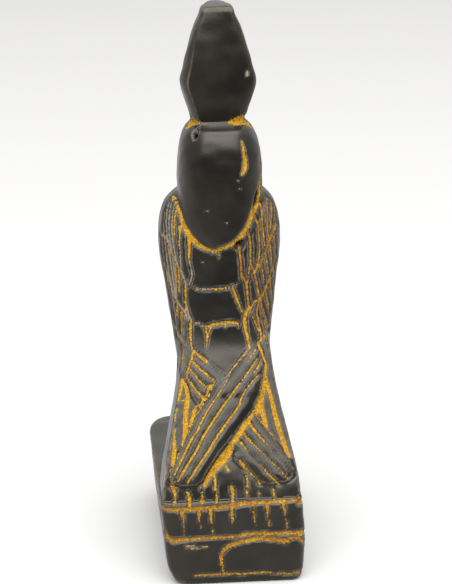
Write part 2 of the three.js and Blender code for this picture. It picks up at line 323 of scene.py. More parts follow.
def base(x, y, z):
    """A block with straight sides, small round corners behind and long round corners in front."""
    z = np.clip(z, 0, BASE_TOP)
    heights, lefts, rights, backs, fronts = np.array(BASE).T
    left, right_side = through(z, heights, lefts), through(z, heights, rights)
    back, front = through(z, heights, backs), through(z, heights, fronts)
    half, depth = (left + right_side) / 2, (back - front) / 2
    across, along = np.abs(x - (left - right_side) / 2), np.abs(y - (back + front) / 2)
    forward = y < (back + front) / 2
    rx = np.where(forward, FRONT_CORNER[0], BACK_CORNER)
    ry = np.where(forward, FRONT_CORNER[1], BACK_CORNER)
    qx, qy = (across - (half - rx)) / rx, (along - (depth - ry)) / ry
    corner = (np.hypot(np.maximum(qx, 0), np.maximum(qy, 0)) - 1) * np.minimum(rx, ry)
    return np.where((qx > 0) & (qy > 0), corner, np.maximum(across - half, along - depth))


def body(x, y, z):
    """Bird and base together, used where a stroke is carried onto the surface."""
    slab = np.maximum(base(x, y, z), np.maximum(z - BASE_TOP, -z))
    return np.minimum(slab, figure(x, y, np.maximum(z, 22.4)))


# %% [markdown]
# ## The skin as a grid
#
# The skin is a function of two numbers: a column, which says in which direction to look from the middle of
# the body, and a row, which says how high. Along each line of sight the form's surface is found by stepping
# inwards and then halving the last step. Columns are packed where chisel strokes will come, on the back and
# the wings, and are spread out on the plain front; rows are packed at the ticks, the hem of the wig and the
# lines of the base.

# %% Rows
ROW_SPACING = [
    [0, 0.45], [1.6, 0.34], [3.5, 0.62], [9.5, 0.6], [11.5, 0.34], [14, 0.34], [16.5, 0.6], [19.5, 0.36],
    [23.4, 0.34], [30, 0.36], [40, 0.45], [58, 0.45], [62, 0.45], [86, 0.42], [94, 0.5], [97, 0.7],
    [109, 0.7], [111.5, 0.3], [114.5, 0.3], [117, 0.5], [121, 0.5], [124, 0.8], [144, 0.8], [148, 0.5],
    [149.6, 0.2], [150.2, 0.1], [CROWN_TOP, 0.05],
]
CROWN_EDGE = CROWN_TOP - 0.1
CROWN_DOME = 0.12


def rows_between(low, high):
    """Heights from high to low whose gaps follow the table: equal steps of the running sum of one over spacing."""
    z = np.linspace(low, high, 4001)
    spacing = np.interp(z, *np.array(ROW_SPACING).T)
    steps = np.concatenate([[0], np.cumsum((1 / spacing[1:] + 1 / spacing[:-1]) / 2 * np.diff(z))])
    count = int(round(steps[-1]))
    return np.interp(np.linspace(steps[-1], 0, count + 1), steps, z)


bird_rows = rows_between(BASE_TOP, CROWN_EDGE)
base_rows = rows_between(0, BASE_TOP)
print(len(bird_rows), "rows on the bird,", len(base_rows), "on the base")

# %% Columns
BACK_COLUMNS = 92
FRONT_COLUMNS = 56
CORE = [[0, 6], [24, 6], [44, 6], [62, 2], [100, 0], [152, 0.6]]
REACH = 46.0


def core(z):
    """The y of the line that the columns look out from, at each height."""
    return through(z, *np.array(CORE).T)


def surface_radius(form, angle, z, steps=24, halvings=13):
    """How far the surface is from the core line: step in from outside until inside, then halve the last step."""
    sx, sy, y0 = np.sin(angle), np.cos(angle), core(z)
    radii = np.linspace(REACH, 0, steps)
    low, high = np.zeros_like(angle), np.full_like(angle, radii[1])
    found = np.zeros(angle.shape, bool)
    for outer, inner in zip(radii[:-1], radii[1:]):
        new = (form(inner * sx, y0 + inner * sy, z) < 0) & ~found
        low[new], high[new] = inner, outer
        found |= new
    for _ in range(halvings):
        middle = (low + high) / 2
        inside = form(middle * sx, y0 + middle * sy, z) < 0
        low, high = np.where(inside, middle, low), np.where(inside, high, middle)
    return (low + high) / 2


def column_angles(z_rows, probes=46, fine=121):
    """Equal steps along the outline at probe heights, smoothed up and down, then read between the probes.
    The back half and the front half are shared out separately, so a foot or a beak doesn't shift the back."""
    heights = np.linspace(z_rows.max(), z_rows.min(), probes)
    parts = []
    for start, end, count in ((0, math.pi / 2, BACK_COLUMNS), (math.pi / 2, math.pi, FRONT_COLUMNS)):
        angle, z = np.meshgrid(np.linspace(start, end, fine), heights)
        radius = surface_radius(figure, angle, z)
        px, py = radius * np.sin(angle), radius * np.cos(angle)
        run = np.cumsum(np.hypot(np.diff(px), np.diff(py)) + 0.02, axis=1)
        run = np.concatenate([np.zeros((probes, 1)), run], axis=1) / run[:, -1:]
        part = np.array([np.interp(np.linspace(0, 1, count + 1), r, angle[0]) for r in run])
        parts.append(part if start == 0 else part[:, 1:])
    table = np.concatenate(parts, axis=1)
    for _ in range(3):
        table[1:-1] = (table[:-2] + 2 * table[1:-1] + table[2:]) / 4
    place = np.interp(z_rows, heights[::-1], np.arange(probes)[::-1])
    i = np.clip(place.astype(int), 0, probes - 2)
    t = (place - i)[:, None]
    half = table[i] * (1 - t) + table[i + 1] * t
    return np.concatenate([-half[:, :0:-1], half[:, :-1]], axis=1)


angles = column_angles(bird_rows)
print(angles.shape[1], "columns")

# %% [markdown]
# The bird's rows end where it meets the base. The top of the base is a ledge that rings between that
# footprint and the base's own outline, and the underside and the crown's cap are closed by rings that
# shrink to one point each.

# %% Grid of the whole skin
LEDGE_RINGS = 9
CAP_RINGS = 4
SOLE_RINGS = 3


def ring_points(radius, angle, z):
    """Cylinder coordinates about the core line, as x, y and z."""
    return np.stack([radius * np.sin(angle), core(z) + radius * np.cos(angle), z], axis=-1)


def make_skin():
    """Rows from the crown down: cap, bird, ledge, base, sole. The cap is a shallow dome, raised by 1 - t^2."""
    z = np.repeat(bird_rows[:, None], angles.shape[1], axis=1)
    bird = ring_points(surface_radius(figure, angles, z), angles, z)
    pole = np.array([0, core(CROWN_EDGE), CROWN_EDGE])
    t = np.linspace(0, 1, CAP_RINGS + 2)[1:-1, None, None]
    cap = pole + (bird[0] - pole) * t + CROWN_DOME * (1 - t ** 2) * [0, 0, 1]
    foot_angles = np.repeat(angles[-1:], len(base_rows), axis=0)
    z = np.repeat(base_rows[:, None], angles.shape[1], axis=1)
    block = ring_points(surface_radius(base, foot_angles, z), foot_angles, z)
    t = np.linspace(0, 1, LEDGE_RINGS + 2)[1:-1, None, None]
    ledge = bird[-1] + (block[0] - bird[-1]) * t
    t = np.linspace(1, 0, SOLE_RINGS + 2)[1:-1, None, None]
    sole_centre = np.array([0, core(0.0), 0])
    sole = sole_centre + (block[-1] - sole_centre) * t
    grid = np.concatenate([cap, bird, ledge, block, sole])
    return grid, pole + [0, 0, CROWN_DOME], sole_centre


skin, top_pole, sole_pole = make_skin()
print("skin", skin.shape, "triangles", 2 * skin.shape[1] * skin.shape[0])

# %% [markdown]
# ## Strokes
#
# Every cut on the statue is a stroke: a line of points with a width at each point. The strokes on the back
# are hand-cut and no two are alike, so they are read off the photograph, stroke by stroke, as pixels and
# widths in pixels. On the sides and the front, which the photograph doesn't show, they follow rules. A
# stroke also has a tone: 1 is full of yellow ochre, 0 is only pale stone dust.

# %% Carrying a stroke onto the body
NEAR, FAR = 650.0, 746.0
POINT_GAP = 3.0


def land(start, direction, near, far, steps=64):
    """Where lines first enter the body: a march and a bisection. A line that misses is pulled onto the skin."""
    t = np.linspace(near, far, steps)
    p = start[:, None] + direction[:, None] * t[None, :, None]
    outside = body(p[..., 0], p[..., 1], p[..., 2])
    hits = (outside < 0).any(axis=1)
    first = np.where(hits, np.argmax(outside < 0, axis=1), np.argmin(outside, axis=1))
    low, high = t[np.maximum(first - 1, 0)], t[first]
    for _ in range(16):
        middle = (low + high) / 2
        q = start + direction * middle[:, None]
        inside = body(*q.T) < 0
        low, high = np.where(inside, low, middle), np.where(inside, middle, high)
    q = start + direction * np.where(hits, high, t[first])[:, None]
    missed = ~hits
    for _ in range(6 if missed.any() else 0):
        slope = gradient(q[missed])
        q[missed] -= (body(*q[missed].T) / (slope ** 2).sum(axis=1))[:, None] * slope
    return q


def gradient(p, h=0.05):
    """The slope of the form at points, from differences of two nearby values along each axis."""
    shifts = np.eye(3) * h
    return np.stack([(body(*(p + s).T) - body(*(p - s).T)) / (2 * h) for s in shifts], axis=1) + 1e-9


def spaced(points, gap):
    """The same line with extra points, evenly spread between each two, and the width shared out."""
    points = np.array(points, float)
    run = np.concatenate([[0], np.cumsum(np.hypot(*np.diff(points[:, :2], axis=0).T))])
    if run[-1] < gap / 2:
        return points
    at = np.linspace(0, run[-1], max(2, int(math.ceil(run[-1] / gap)) + 1))
    return np.stack([np.interp(at, run, column) for column in points.T], axis=1)


strokes = []


def cut(lines, places, halves, look):
    """Keeps each line as a stroke: its places in mm, the half widths of its filling in mm, and its look."""
    ends = np.cumsum([len(line) for line in lines])[:-1]
    for place, half in zip(np.split(places, ends), np.split(halves, ends)):
        strokes.append((place, half, look))


def look(steep=1.0, flare=0.2, tone=1.0, rust=0.2, loose=0.2, fill=0.85):
    """How a stroke is cut and filled: depth over half width, how far its walls reach beyond the filling, yellow or
    only dust, how rusty, how broken up, and how much of the width the filling takes."""
    return steep, flare, tone, rust, loose, fill


def from_photo(lines, **how):
    """Strokes as pixels (x, y, width) of the photograph. Where the skin turns away from the camera a stroke is wider
    on the stone than it looks, by one over the cosine of the turn."""
    lines = [spaced(line, POINT_GAP) for line in lines]
    x, y, width = np.concatenate(lines).T
    sight = (-toward_camera + np.outer((x - PHOTO_SIZE[0] / 2) / FOCAL_PIXELS, right)
             - np.outer((y - PHOTO_SIZE[1] / 2) / FOCAL_PIXELS, up))
    sight /= np.linalg.norm(sight, axis=1)[:, None]
    places = land(np.repeat(eye[None], len(x), axis=0), sight, NEAR, FAR)
    slope = gradient(places)
    facing = np.abs((slope * sight).sum(axis=1)) / np.linalg.norm(slope, axis=1)
    cut(lines, places, width * PIXEL / 2 / np.clip(facing, 0.4, 1), look(**how))


# %% [markdown]
# ### The wig and the crown
#
# The hem of the wig is the boldest cut: a U that is widest on the right, where the ochre was pressed in
# thickest.

# %% Strokes of the wig and the crown
WIG_HEM = [
    [(172.4, 195.8, 1.5), (176, 200.3, 2), (177.4, 205.6, 2.2), (180, 212, 3), (181.2, 218.2, 3.4),
     (183.2, 224.5, 4.2), (187, 231.7, 5.2), (191.3, 238.6, 6), (198.5, 245, 4.4), (207, 249.6, 3),
     (214.6, 250.6, 3), (221.8, 249.2, 3.6), (230.8, 245.6, 4), (236.6, 242, 4.4), (242.5, 235.3, 4.8),
     (247.8, 228.1, 4.8), (251.4, 219.1, 4.8), (255, 210.1, 5.4), (258.4, 200.3, 6.6), (260.2, 191, 5.6),
     (260.8, 184, 3)],
]
WIG_FRONT_EDGE = [[(261, 184, 2.5), (261.2, 170, 1.8), (260.6, 158, 1.6), (259.6, 149, 1.2)]]
CROWN_FOOT = [
    [(189, 126, 4), (191, 122, 5), (195.5, 123.5, 3), (200, 124.5, 1.6), (206, 124, 1)],
    [(227, 124, 1.2), (231, 122.6, 3), (236, 123.6, 4.4), (242, 122.6, 6), (247.6, 121.6, 7), (250, 124.6, 4)],
]
WIG_CHIP = [[(241.6, 141, 1.4), (243.6, 150, 2.8), (245.2, 160, 4.4), (245.2, 168, 5), (242.4, 174.6, 3.4)]]
TINY_CHIPS = [
    [(207, 211, 1.6), (207.6, 211.6, 1.2)], [(227, 223, 1.2), (227.4, 223.6, 1)],
    [(237.5, 180, 1.6), (238, 181, 1.2)], [(247, 70.6, 2), (247.6, 76, 2.6)],
    [(239.6, 188, 1), (240, 189.5, 1)], [(202.5, 262, 1), (203, 262.6, 1)],
]
PEG_HOLE = [[(195, 132.6, 4.6), (195.2, 135.6, 4.6)]]

from_photo(WIG_HEM, steep=0.9, flare=0.25, fill=0.95)
from_photo(WIG_FRONT_EDGE, loose=0.4)
from_photo(CROWN_FOOT, steep=0.4, loose=1.0, fill=0.9)
from_photo(WIG_CHIP, steep=0.5, loose=0.3)
from_photo(TINY_CHIPS, tone=0.1, steep=0.5)
# The peg hole is cut deep, and the material paints it near black as painted shade.
from_photo(PEG_HOLE, steep=2.6, flare=0.1, fill=0.0)
print(len(strokes), "strokes so far")

# %% [markdown]
# ### The folded wings
#
# Long feathers run down both wings in three rows. Each row ends in a slanting line of feather tips. Those
# on the left catch only dust, so they look pale; those on the right are full of ochre.

# %% Left wing
LEFT_FEATHERS_PALE = [
    [(166, 203, 0.8), (163, 212, 1.2), (161.6, 224, 1.3), (162.3, 236, 1.2)],
    [(168.6, 201.4, 0.9), (166, 210, 1.2), (164.6, 222, 1.4), (165.6, 236, 1.4), (169, 247, 1)],
    [(171.6, 200, 0.9), (169.2, 208, 1.2), (168, 221, 1.4), (168.2, 236, 1.4), (171, 250, 1.1)],
    [(173.6, 204, 1), (171.8, 212, 1.4), (171, 222, 1.6), (171.6, 238, 1.6), (174.6, 256, 1.6), (177.6, 268, 1.2)],
    [(160.4, 236, 1), (161, 248, 1.2), (163.4, 262, 1.2), (166, 276, 1.2), (167.4, 284, 1)],
    [(163, 240, 1), (164.6, 252, 1.4), (166, 264, 1.4), (168.4, 276, 1.4), (171, 287, 1)],
    [(166.8, 246, 1), (168, 256, 1.5), (170.4, 270, 1.6), (172.4, 284, 1.5), (174, 294, 1.2)],
    [(171.6, 258, 1.2), (172.8, 268, 1.6), (174.6, 282, 1.7), (175.4, 298, 1.4)],
    [(167.4, 286, 1), (169.6, 298, 1.3), (171.2, 310, 1.3), (172.6, 322, 1)],
    [(170.6, 291, 1), (172.4, 302, 1.4), (174, 314, 1.5), (175.2, 328, 1.4), (176, 336, 1)],
    [(173.6, 330, 1), (175.2, 342, 1.3), (176.6, 354, 1.4), (177.8, 366, 1)],
    [(189, 262.2, 1), (191, 270, 1.4), (191.7, 276, 1.2), (190, 282, 1.6), (188.6, 286, 1)],
    [(185.9, 304, 1.2), (188.6, 314.9, 1.8), (191.3, 320.3, 1.4)],
    [(178.4, 226, 1), (179, 240, 1.2), (179.8, 256, 1.4), (180.3, 268, 1.2)],
]
LEFT_FEATHERS_OCHRE = [
    [(176.9, 209, 1.6), (174.6, 214, 1.8), (174, 224, 1.6), (174, 234, 1.4), (172, 242, 1)],
    [(182, 223.6, 3), (180, 228.6, 2.6), (179.2, 236, 2), (178.9, 246, 1.4)],
    [(189.2, 238.6, 4.6), (188.8, 247.6, 3.4), (188.8, 256, 2.4), (189, 262.6, 1.4)],
    [(168.9, 250, 1.4), (169.3, 260, 1.4)],
    [(174.8, 264, 1.2), (175.2, 276, 1.5), (174.8, 286, 1.2)],
    [(177.8, 270.5, 1.8), (178.2, 282, 2), (178.1, 292, 1.6)],
    [(184.7, 286, 2), (185, 298, 2.2), (185.1, 305, 2), (184.8, 311, 2.8)],
    [(176.9, 304, 1.6), (176.5, 315, 1.8)],
    [(181, 312.2, 2.2), (181, 322, 3), (180.5, 331, 2)],
    [(181.4, 343.6, 1.6), (181.8, 352, 1.8), (181.6, 360, 1.6), (179.8, 370, 1.4)],
]
LEFT_ROW_ENDS = [
    [(159.8, 234, 1), (164.8, 238, 1.4), (168.6, 246.4, 1.4), (172.4, 256, 1.4), (177, 265.8, 1.6),
     (180.6, 271.6, 1.8), (185.6, 284.6, 1.6)],
    [(162.4, 262, 1), (165.3, 270, 1.4), (168.9, 281.7, 1.5), (172.4, 294.2, 1.5), (177.8, 303.2, 1.7),
     (184.1, 312.2, 1.7), (188, 319.6, 1.4)],
    [(170.6, 318, 1), (174.2, 327.5, 1.4), (177.8, 336.4, 1.4), (181, 339.1, 1.6), (184.6, 343.6, 1.4)],
]

from_photo(LEFT_FEATHERS_PALE, steep=1.6, flare=0.5, tone=0.15, loose=0.3)
from_photo(LEFT_FEATHERS_OCHRE, steep=1.3, flare=0.45, loose=0.3)
from_photo(LEFT_ROW_ENDS, steep=1.3, flare=0.35, tone=0.3, loose=0.4)

# %% Right wing
RIGHT_FEATHERS = [
    [(238.8, 242, 4.4), (239.8, 247.8, 3.6), (240.2, 255, 2.6), (241.1, 262.2, 3), (241.6, 271.2, 3),
     (241.6, 279.3, 2)],
    [(248.3, 229, 2.8), (249.6, 235.3, 2.6), (251, 246, 2.8), (250.5, 255, 2.6), (251, 264, 2.4), (254.6, 272, 2.4)],
    [(254.6, 211, 2.4), (256.8, 218.2, 2.2), (259.1, 228.1, 2.2), (259.5, 238.9, 2.2), (260, 251.4, 2),
     (258.6, 262.2, 2.4), (256, 271, 2.2)],
    [(260.8, 201, 2.4), (262.4, 213.7, 2.2), (263.1, 222.7, 2), (264, 231.7, 2.2), (264.5, 238.9, 2),
     (265.4, 246, 1.8)],
    [(267.6, 196.7, 1.6), (268, 203, 2), (268.5, 211.9, 2), (268.5, 220.9, 2), (268, 229.9, 2), (270.3, 238.9, 2)],
    [(272.6, 201, 1.4), (272.9, 211.9, 1.8), (272.3, 222.7, 1.8), (271.6, 229.9, 1.6)],
    [(276, 208, 1), (276.8, 218, 1.4), (276.4, 226, 1.2)],
    [(265.8, 251.4, 1.8), (267.1, 261.3, 2), (269.4, 273, 1.8)],
    [(261.3, 262.2, 1.8), (263.1, 271.2, 2), (264.9, 283.7, 1.8)],
    [(270.8, 241, 1.6), (272.2, 256, 1.8), (272.6, 266, 1.6)],
    [(275.2, 236, 1.2), (276.6, 248, 1.4), (276.6, 258, 1.2)],
    [(254.1, 272.1, 2.8), (256.4, 280.2, 2.6), (258.6, 290, 2.6), (260.4, 299, 2.4)],
    [(243.8, 277.2, 2.4), (247, 285.5, 3), (247.6, 292.7, 2.8), (248.6, 300.6, 2.8), (249.6, 307.7, 3)],
    [(249.6, 264.9, 1.4), (248.7, 273, 1.6), (249.6, 278, 1.6), (247, 284, 1.8)],
    [(266.7, 289.7, 2), (268.9, 299.6, 2.4), (270.3, 308.7, 2)],
    [(261.8, 298.7, 2.6), (264, 309.5, 2.8), (267.6, 320.3, 2.4), (269.4, 328.5, 2)],
    [(271.4, 278, 1.4), (272.8, 290, 1.8), (273.4, 302, 1.6), (272.8, 312, 1.4)],
    [(274.6, 264, 1.2), (275.4, 278, 1.4), (275, 292, 1.2)],
    [(259.5, 302, 2), (256.8, 311.3, 2.8), (258.6, 320.3, 2.4), (260.9, 331, 2.4), (261.3, 339.1, 2.2)],
    [(263.4, 320, 1.2), (266, 328, 1.6)],
    [(265.8, 336.4, 1.8), (269.4, 346, 1.6)],
    [(252.5, 316, 0.8), (256, 324, 1), (259, 332, 0.8)],
]
RIGHT_ROW_ENDS = [
    [(278.6, 223, 1.6), (274.8, 232.6, 2.6), (270.7, 238.9, 2.8), (268.5, 246, 1.8), (265.8, 253.2, 1.8),
     (261.3, 262.2, 1.8), (257.7, 268.5, 1.8), (254.6, 273, 2.4)],
    [(278, 256.6, 1.4), (273.9, 268.5, 1.8), (270.3, 280.2, 2), (265.8, 290.6, 2.4), (262.2, 298.7, 2.2),
     (260.4, 299.6, 1.6)],
    [(260.4, 299.6, 1.2), (255, 301.4, 1.4), (251.9, 307.7, 1.4), (250.2, 313, 1.8)],
    [(273.4, 320, 1.6), (266.7, 331, 2), (263.1, 338.2, 2.2), (257.7, 342.4, 2.4)],
]
RIGHT_EDGE_OF_BACK = [
    [(233, 288.6, 2.6), (235.3, 295, 3.2), (238.4, 303.2, 2.4), (242.5, 312.6, 1.8)],
    [(249.6, 307.7, 3.4), (245.4, 314.9, 4), (244.6, 320.3, 5), (246, 331, 3.6), (247.8, 338.2, 3),
     (249.6, 348, 2.2)],
    [(257.7, 342.6, 2.6), (260.4, 349, 4.2), (263.1, 356.2, 3), (265.8, 364, 1.4)],
]

from_photo(RIGHT_FEATHERS, steep=1.2, flare=0.45, rust=0.6, loose=0.25, fill=0.7)
from_photo(RIGHT_ROW_ENDS, steep=1.1, flare=0.35, tone=0.8, rust=0.5, loose=0.4, fill=0.7)
from_photo(RIGHT_EDGE_OF_BACK, flare=0.3, fill=0.78)

# %% Cuts across the smooth middle of the back
BACK_CUTS_PALE = [
    [(193.1, 287.3, 1.2), (197.6, 289.4, 2.4), (207.5, 289.6, 2.6), (214, 289.4, 2.4)],
    [(227.2, 288.2, 2.6), (233.5, 285.5, 2), (238, 284.4, 1)],
    [(193.1, 322.6, 1.2), (200.3, 323.4, 1.4), (203.4, 327.4, 1.6)],
    [(206, 252, 1), (213, 252.6, 1.6), (232, 249, 1)],
]
BACK_CUTS_OCHRE = [
    [(213, 289.4, 2.4), (220, 289, 3), (228, 288, 2.4)],
    [(204.8, 327.4, 3), (212.8, 324.8, 4), (223.6, 323, 4), (230.8, 322.4, 4), (237.6, 322.6, 3.4),
     (238.6, 327, 1.6)],
    [(224.6, 323, 1.6), (225, 327.6, 1)],
    [(205.2, 327.5, 2.4), (207.5, 336.4, 3), (206.8, 346.4, 1.6)],
    [(210.8, 328.3, 2), (207.5, 336.4, 2.4)],
    [(218.7, 251.6, 1), (218.8, 258.6, 1.4)],
    [(191.3, 320.3, 3), (190.2, 326, 3.8), (190.4, 333, 3.6), (190.6, 340, 2.4), (191.7, 347.2, 2.2),
     (194, 352.4, 3.2)],
]

from_photo(BACK_CUTS_PALE, steep=0.9, flare=0.3, tone=0.3, loose=0.6, fill=0.6)
from_photo(BACK_CUTS_OCHRE, steep=0.9, flare=0.3, loose=0.4, fill=0.65)
print(len(strokes), "strokes so far")

# %% [markdown]
# ### The crossed wing tips
#
# The two wing tips cross over the tail. They are the only parts of the back with real height: the left one
# lies on the tail, and the right one lies on both. Their outlines are given across and up the statue, in
# millimetres.

# %% Outlines of the wing tips, as x and z
OVER_TIP = [
    (-6.4, 61.4), (-0.4, 54.6), (3.1, 52.4), (7.7, 45.6), (12.1, 38), (15.6, 31.5), (15.9, 29.5), (15.2, 28),
    (13.2, 27.3), (9.5, 27.2), (7.3, 28.4), (5.9, 30.9), (1.9, 36.1), (-2.7, 40.7), (-6.8, 45.4),
    (-8.9, 49.4), (-10.2, 55), (-9.4, 60),
]
UNDER_TIP = [
    (8.4, 60.6), (5.3, 58.1), (0.9, 54.7), (-3, 49.5), (-8.7, 42.7), (-12.5, 37.8), (-16.2, 33),
    (-17, 30.6), (-16.6, 28.7), (-15.4, 27.6), (-11.5, 27), (-7.9, 27.2), (-5.2, 30.2), (-2.9, 31.6),
    (-1, 33.6), (-1.5, 35.4), (2, 39), (7.7, 46.4), (9.4, 49), (10.6, 53.9), (9.1, 58.6),
]
OVER_HEIGHT = 1.5
UNDER_HEIGHT = 0.8


def depth_inside(x, z, outline):
    """How far inside a closed outline a point is, negative outside: nearest edge, signed by counting crossings."""
    corners = np.array(outline, float)
    ends = np.roll(corners, -1, axis=0)
    best = np.full(x.shape, 1e9)
    inside = np.zeros(x.shape, bool)
    for (ax, az), (bx, bz) in zip(corners, ends):
        t = np.clip(((x - ax) * (bx - ax) + (z - az) * (bz - az)) / ((bx - ax) ** 2 + (bz - az) ** 2), 0, 1)
        best = np.minimum(best, np.hypot(x - ax - t * (bx - ax), z - az - t * (bz - az)))
        if az != bz:
            inside ^= ((az > z) != (bz > z)) & (x < (bx - ax) * (z - az) / (bz - az) + ax)
    return np.where(inside, best, -best)


def tip_height(p):
    """A steep edge a quarter of a millimetre wide, then a gentle swell over two more, only on the back."""
    x, y, z = p[..., 0], p[..., 1], p[..., 2]
    rise = np.zeros(x.shape)
    for outline, height in ((UNDER_TIP, UNDER_HEIGHT), (OVER_TIP, OVER_HEIGHT)):
        d = depth_inside(x, z, outline)
        rise = np.maximum(rise, height * (0.62 * step(-0.2, 0.25, d) + 0.38 * step(0, 2.4, d)))
    return rise * step(9, 13, y) * step(62.5, 59, z)


# %% Strokes of the wing tips
LEFT_TIP_OCHRE = [
    [(195, 352, 2), (200.3, 356.4, 4.6), (205.7, 361, 4.2), (208, 363, 2)],
    [(193.2, 352.4, 2.4), (191.7, 359.2, 2.6), (188.4, 368.8, 2.8), (186.6, 378.5, 2.6)],
    [(193.4, 362.4, 2.4), (198.5, 367.6, 2.6), (203.3, 371.7, 2.8), (213.4, 380.2, 2.6)],
    [(190.6, 370, 2.2), (196.5, 377.5, 2.4), (202.3, 384.2, 2.6), (207.1, 388, 2.8)],
    [(187.6, 378.8, 2.4), (193.7, 387, 2.6), (198, 392.6, 2.8), (202.6, 397.7, 3.4)],
    [(212, 384.2, 2.6), (208.4, 388, 3.2), (207, 393.8, 2.6), (203.3, 399.6, 3.2), (198.9, 406.6, 2.8)],
    [(252.6, 412.6, 1.2), (261, 421.5, 1.5), (268.7, 431, 1.5), (276.3, 440.8, 1)],
    [(249.4, 423.5, 4.4), (254.2, 430.2, 3.4), (260, 437, 2.4), (265.8, 443.7, 1.8), (270.6, 448.5, 1.2)],
    [(241.7, 431, 4), (246.5, 437.9, 3), (252.3, 443.7, 1.8), (263.8, 454.2, 1.4), (270.6, 461, 1.6),
     (275.4, 465.8, 1)],
    [(276.3, 466.7, 1.4), (282.1, 472.5, 2.2), (288.8, 480, 1.4)],
    [(237, 439.8, 4), (242.7, 444.6, 3.2), (247.5, 452.3, 1.4)],
    [(260, 464.8, 1), (265.8, 471.5, 2.2), (272.5, 478.3, 3), (279.2, 485, 2.2)],
    [(239.8, 461, 3), (244.6, 467.7, 4), (249.4, 472.5, 2.2), (256.2, 478.3, 1.6), (260, 484, 3)],
]
LEFT_TIP_DARK = [
    [(208, 363, 1.6), (213.8, 366.4, 1.6), (222.5, 373.7, 1.2)],
    [(186.6, 378.5, 1.4), (188.8, 388, 1.2), (191.7, 397.7, 1.2), (198, 407.3, 1.4)],
    [(247.5, 452.3, 1), (254, 459, 1), (260, 464.8, 1)],
    [(270.6, 448.5, 1), (278, 456.4, 1), (285, 463.8, 1), (292, 471, 1)],
    [(276.3, 440.8, 1.2), (284, 450.4, 1.4), (291.7, 460, 1.4), (295.6, 469.6, 1.6), (294.6, 477.3, 1.6),
     (288.8, 481.6, 1.4)],
]
RIGHT_TIP_OCHRE = [
    [(221.5, 389, 1.6), (215.8, 397.7, 2), (207.1, 410.8, 2.2), (199.4, 425.4, 2.4), (198.5, 429.2, 2.6),
     (191.7, 438.8, 2.4), (186, 450.4, 2.8), (180.2, 462.9, 2.2), (175.4, 472.5, 2), (173.5, 476.3, 1.4)],
    [(239.8, 383.3, 2), (233, 392, 2.2), (226.3, 401.5, 2.6), (219.6, 411, 2.8), (211.9, 422.5, 3),
     (205.2, 433, 2.8), (201.3, 439.8, 3), (196.5, 450.4, 3), (189.8, 461, 3), (184, 470.6, 3), (177.6, 481.6, 2)],
    [(246.5, 388, 1.8), (241.7, 395.8, 2.2), (239.4, 404.4, 2.2), (235, 411.6, 2.6), (227.3, 421.7, 2.8),
     (218.7, 434, 2.8), (213.8, 441.7, 3), (208, 451.3, 2.8), (202.3, 460, 3), (195.6, 469.6, 3), (187.2, 483, 2)],
    [(257.1, 358.3, 1.6), (252.3, 365.4, 2.6), (248.6, 371, 2.2)],
    [(261, 359.6, 1.2), (257.1, 367.9, 2), (253.3, 372.7, 1.4)],
    [(214.8, 381.6, 1.2), (212.4, 386.2, 1.2)],
]
RIGHT_TIP_PALE = [
    [(249.4, 349, 1.4), (242.7, 356.4, 2.2), (236.9, 363, 2.2), (229.2, 373, 1.8), (227.3, 380.4, 1.4),
     (221.5, 389, 1.6)],
    [(248.6, 371, 2), (244, 377.6, 1.8), (239.8, 383.3, 2)],
    [(259, 374.6, 1.8), (252.3, 380.8, 2.4), (246.5, 388, 1.8)],
    [(255.6, 349.6, 1.2), (250, 357, 1.8), (246.6, 362, 1)],
]
RIGHT_TIP_EDGE = [
    [(212.4, 386.2, 1.4), (208, 396.7, 1.6), (202.3, 405.4, 1.8), (198.5, 411, 1.8), (193.7, 420.6, 1.6),
     (188.8, 431, 1.6), (183, 442.7, 1.5), (179.2, 452.3, 1.4), (175.4, 462, 1.4), (170.6, 470.6, 1.6),
     (169.9, 477.3, 1.6), (172.5, 484.4, 1.6), (178, 488.6, 1.4)],
    [(264.6, 371.7, 1.2), (262.2, 382.3, 1.2), (260.2, 393.8, 1.2), (256.6, 401.5, 1.2), (253.4, 411.2, 1.4)],
]

from_photo(LEFT_TIP_OCHRE, flare=0.35, rust=0.4, loose=0.4, fill=0.75)
from_photo(LEFT_TIP_DARK, steep=1.2, flare=0.3, fill=0.0)
from_photo(RIGHT_TIP_OCHRE, flare=0.4, rust=0.3, loose=0.2, fill=0.75)
from_photo(RIGHT_TIP_PALE, flare=0.4, tone=0.6, loose=0.5, fill=0.6)
from_photo(RIGHT_TIP_EDGE, steep=0.8, flare=0.25, tone=0.7, loose=0.8, fill=0.4)

# %% [markdown]
# ### The tail
#
# Where the tips lie on the tail, the ground beside them was gouged away and packed with ochre, so there are
# broad yellow fields as well as lines. A broad field is a stroke as well, only a wide one.

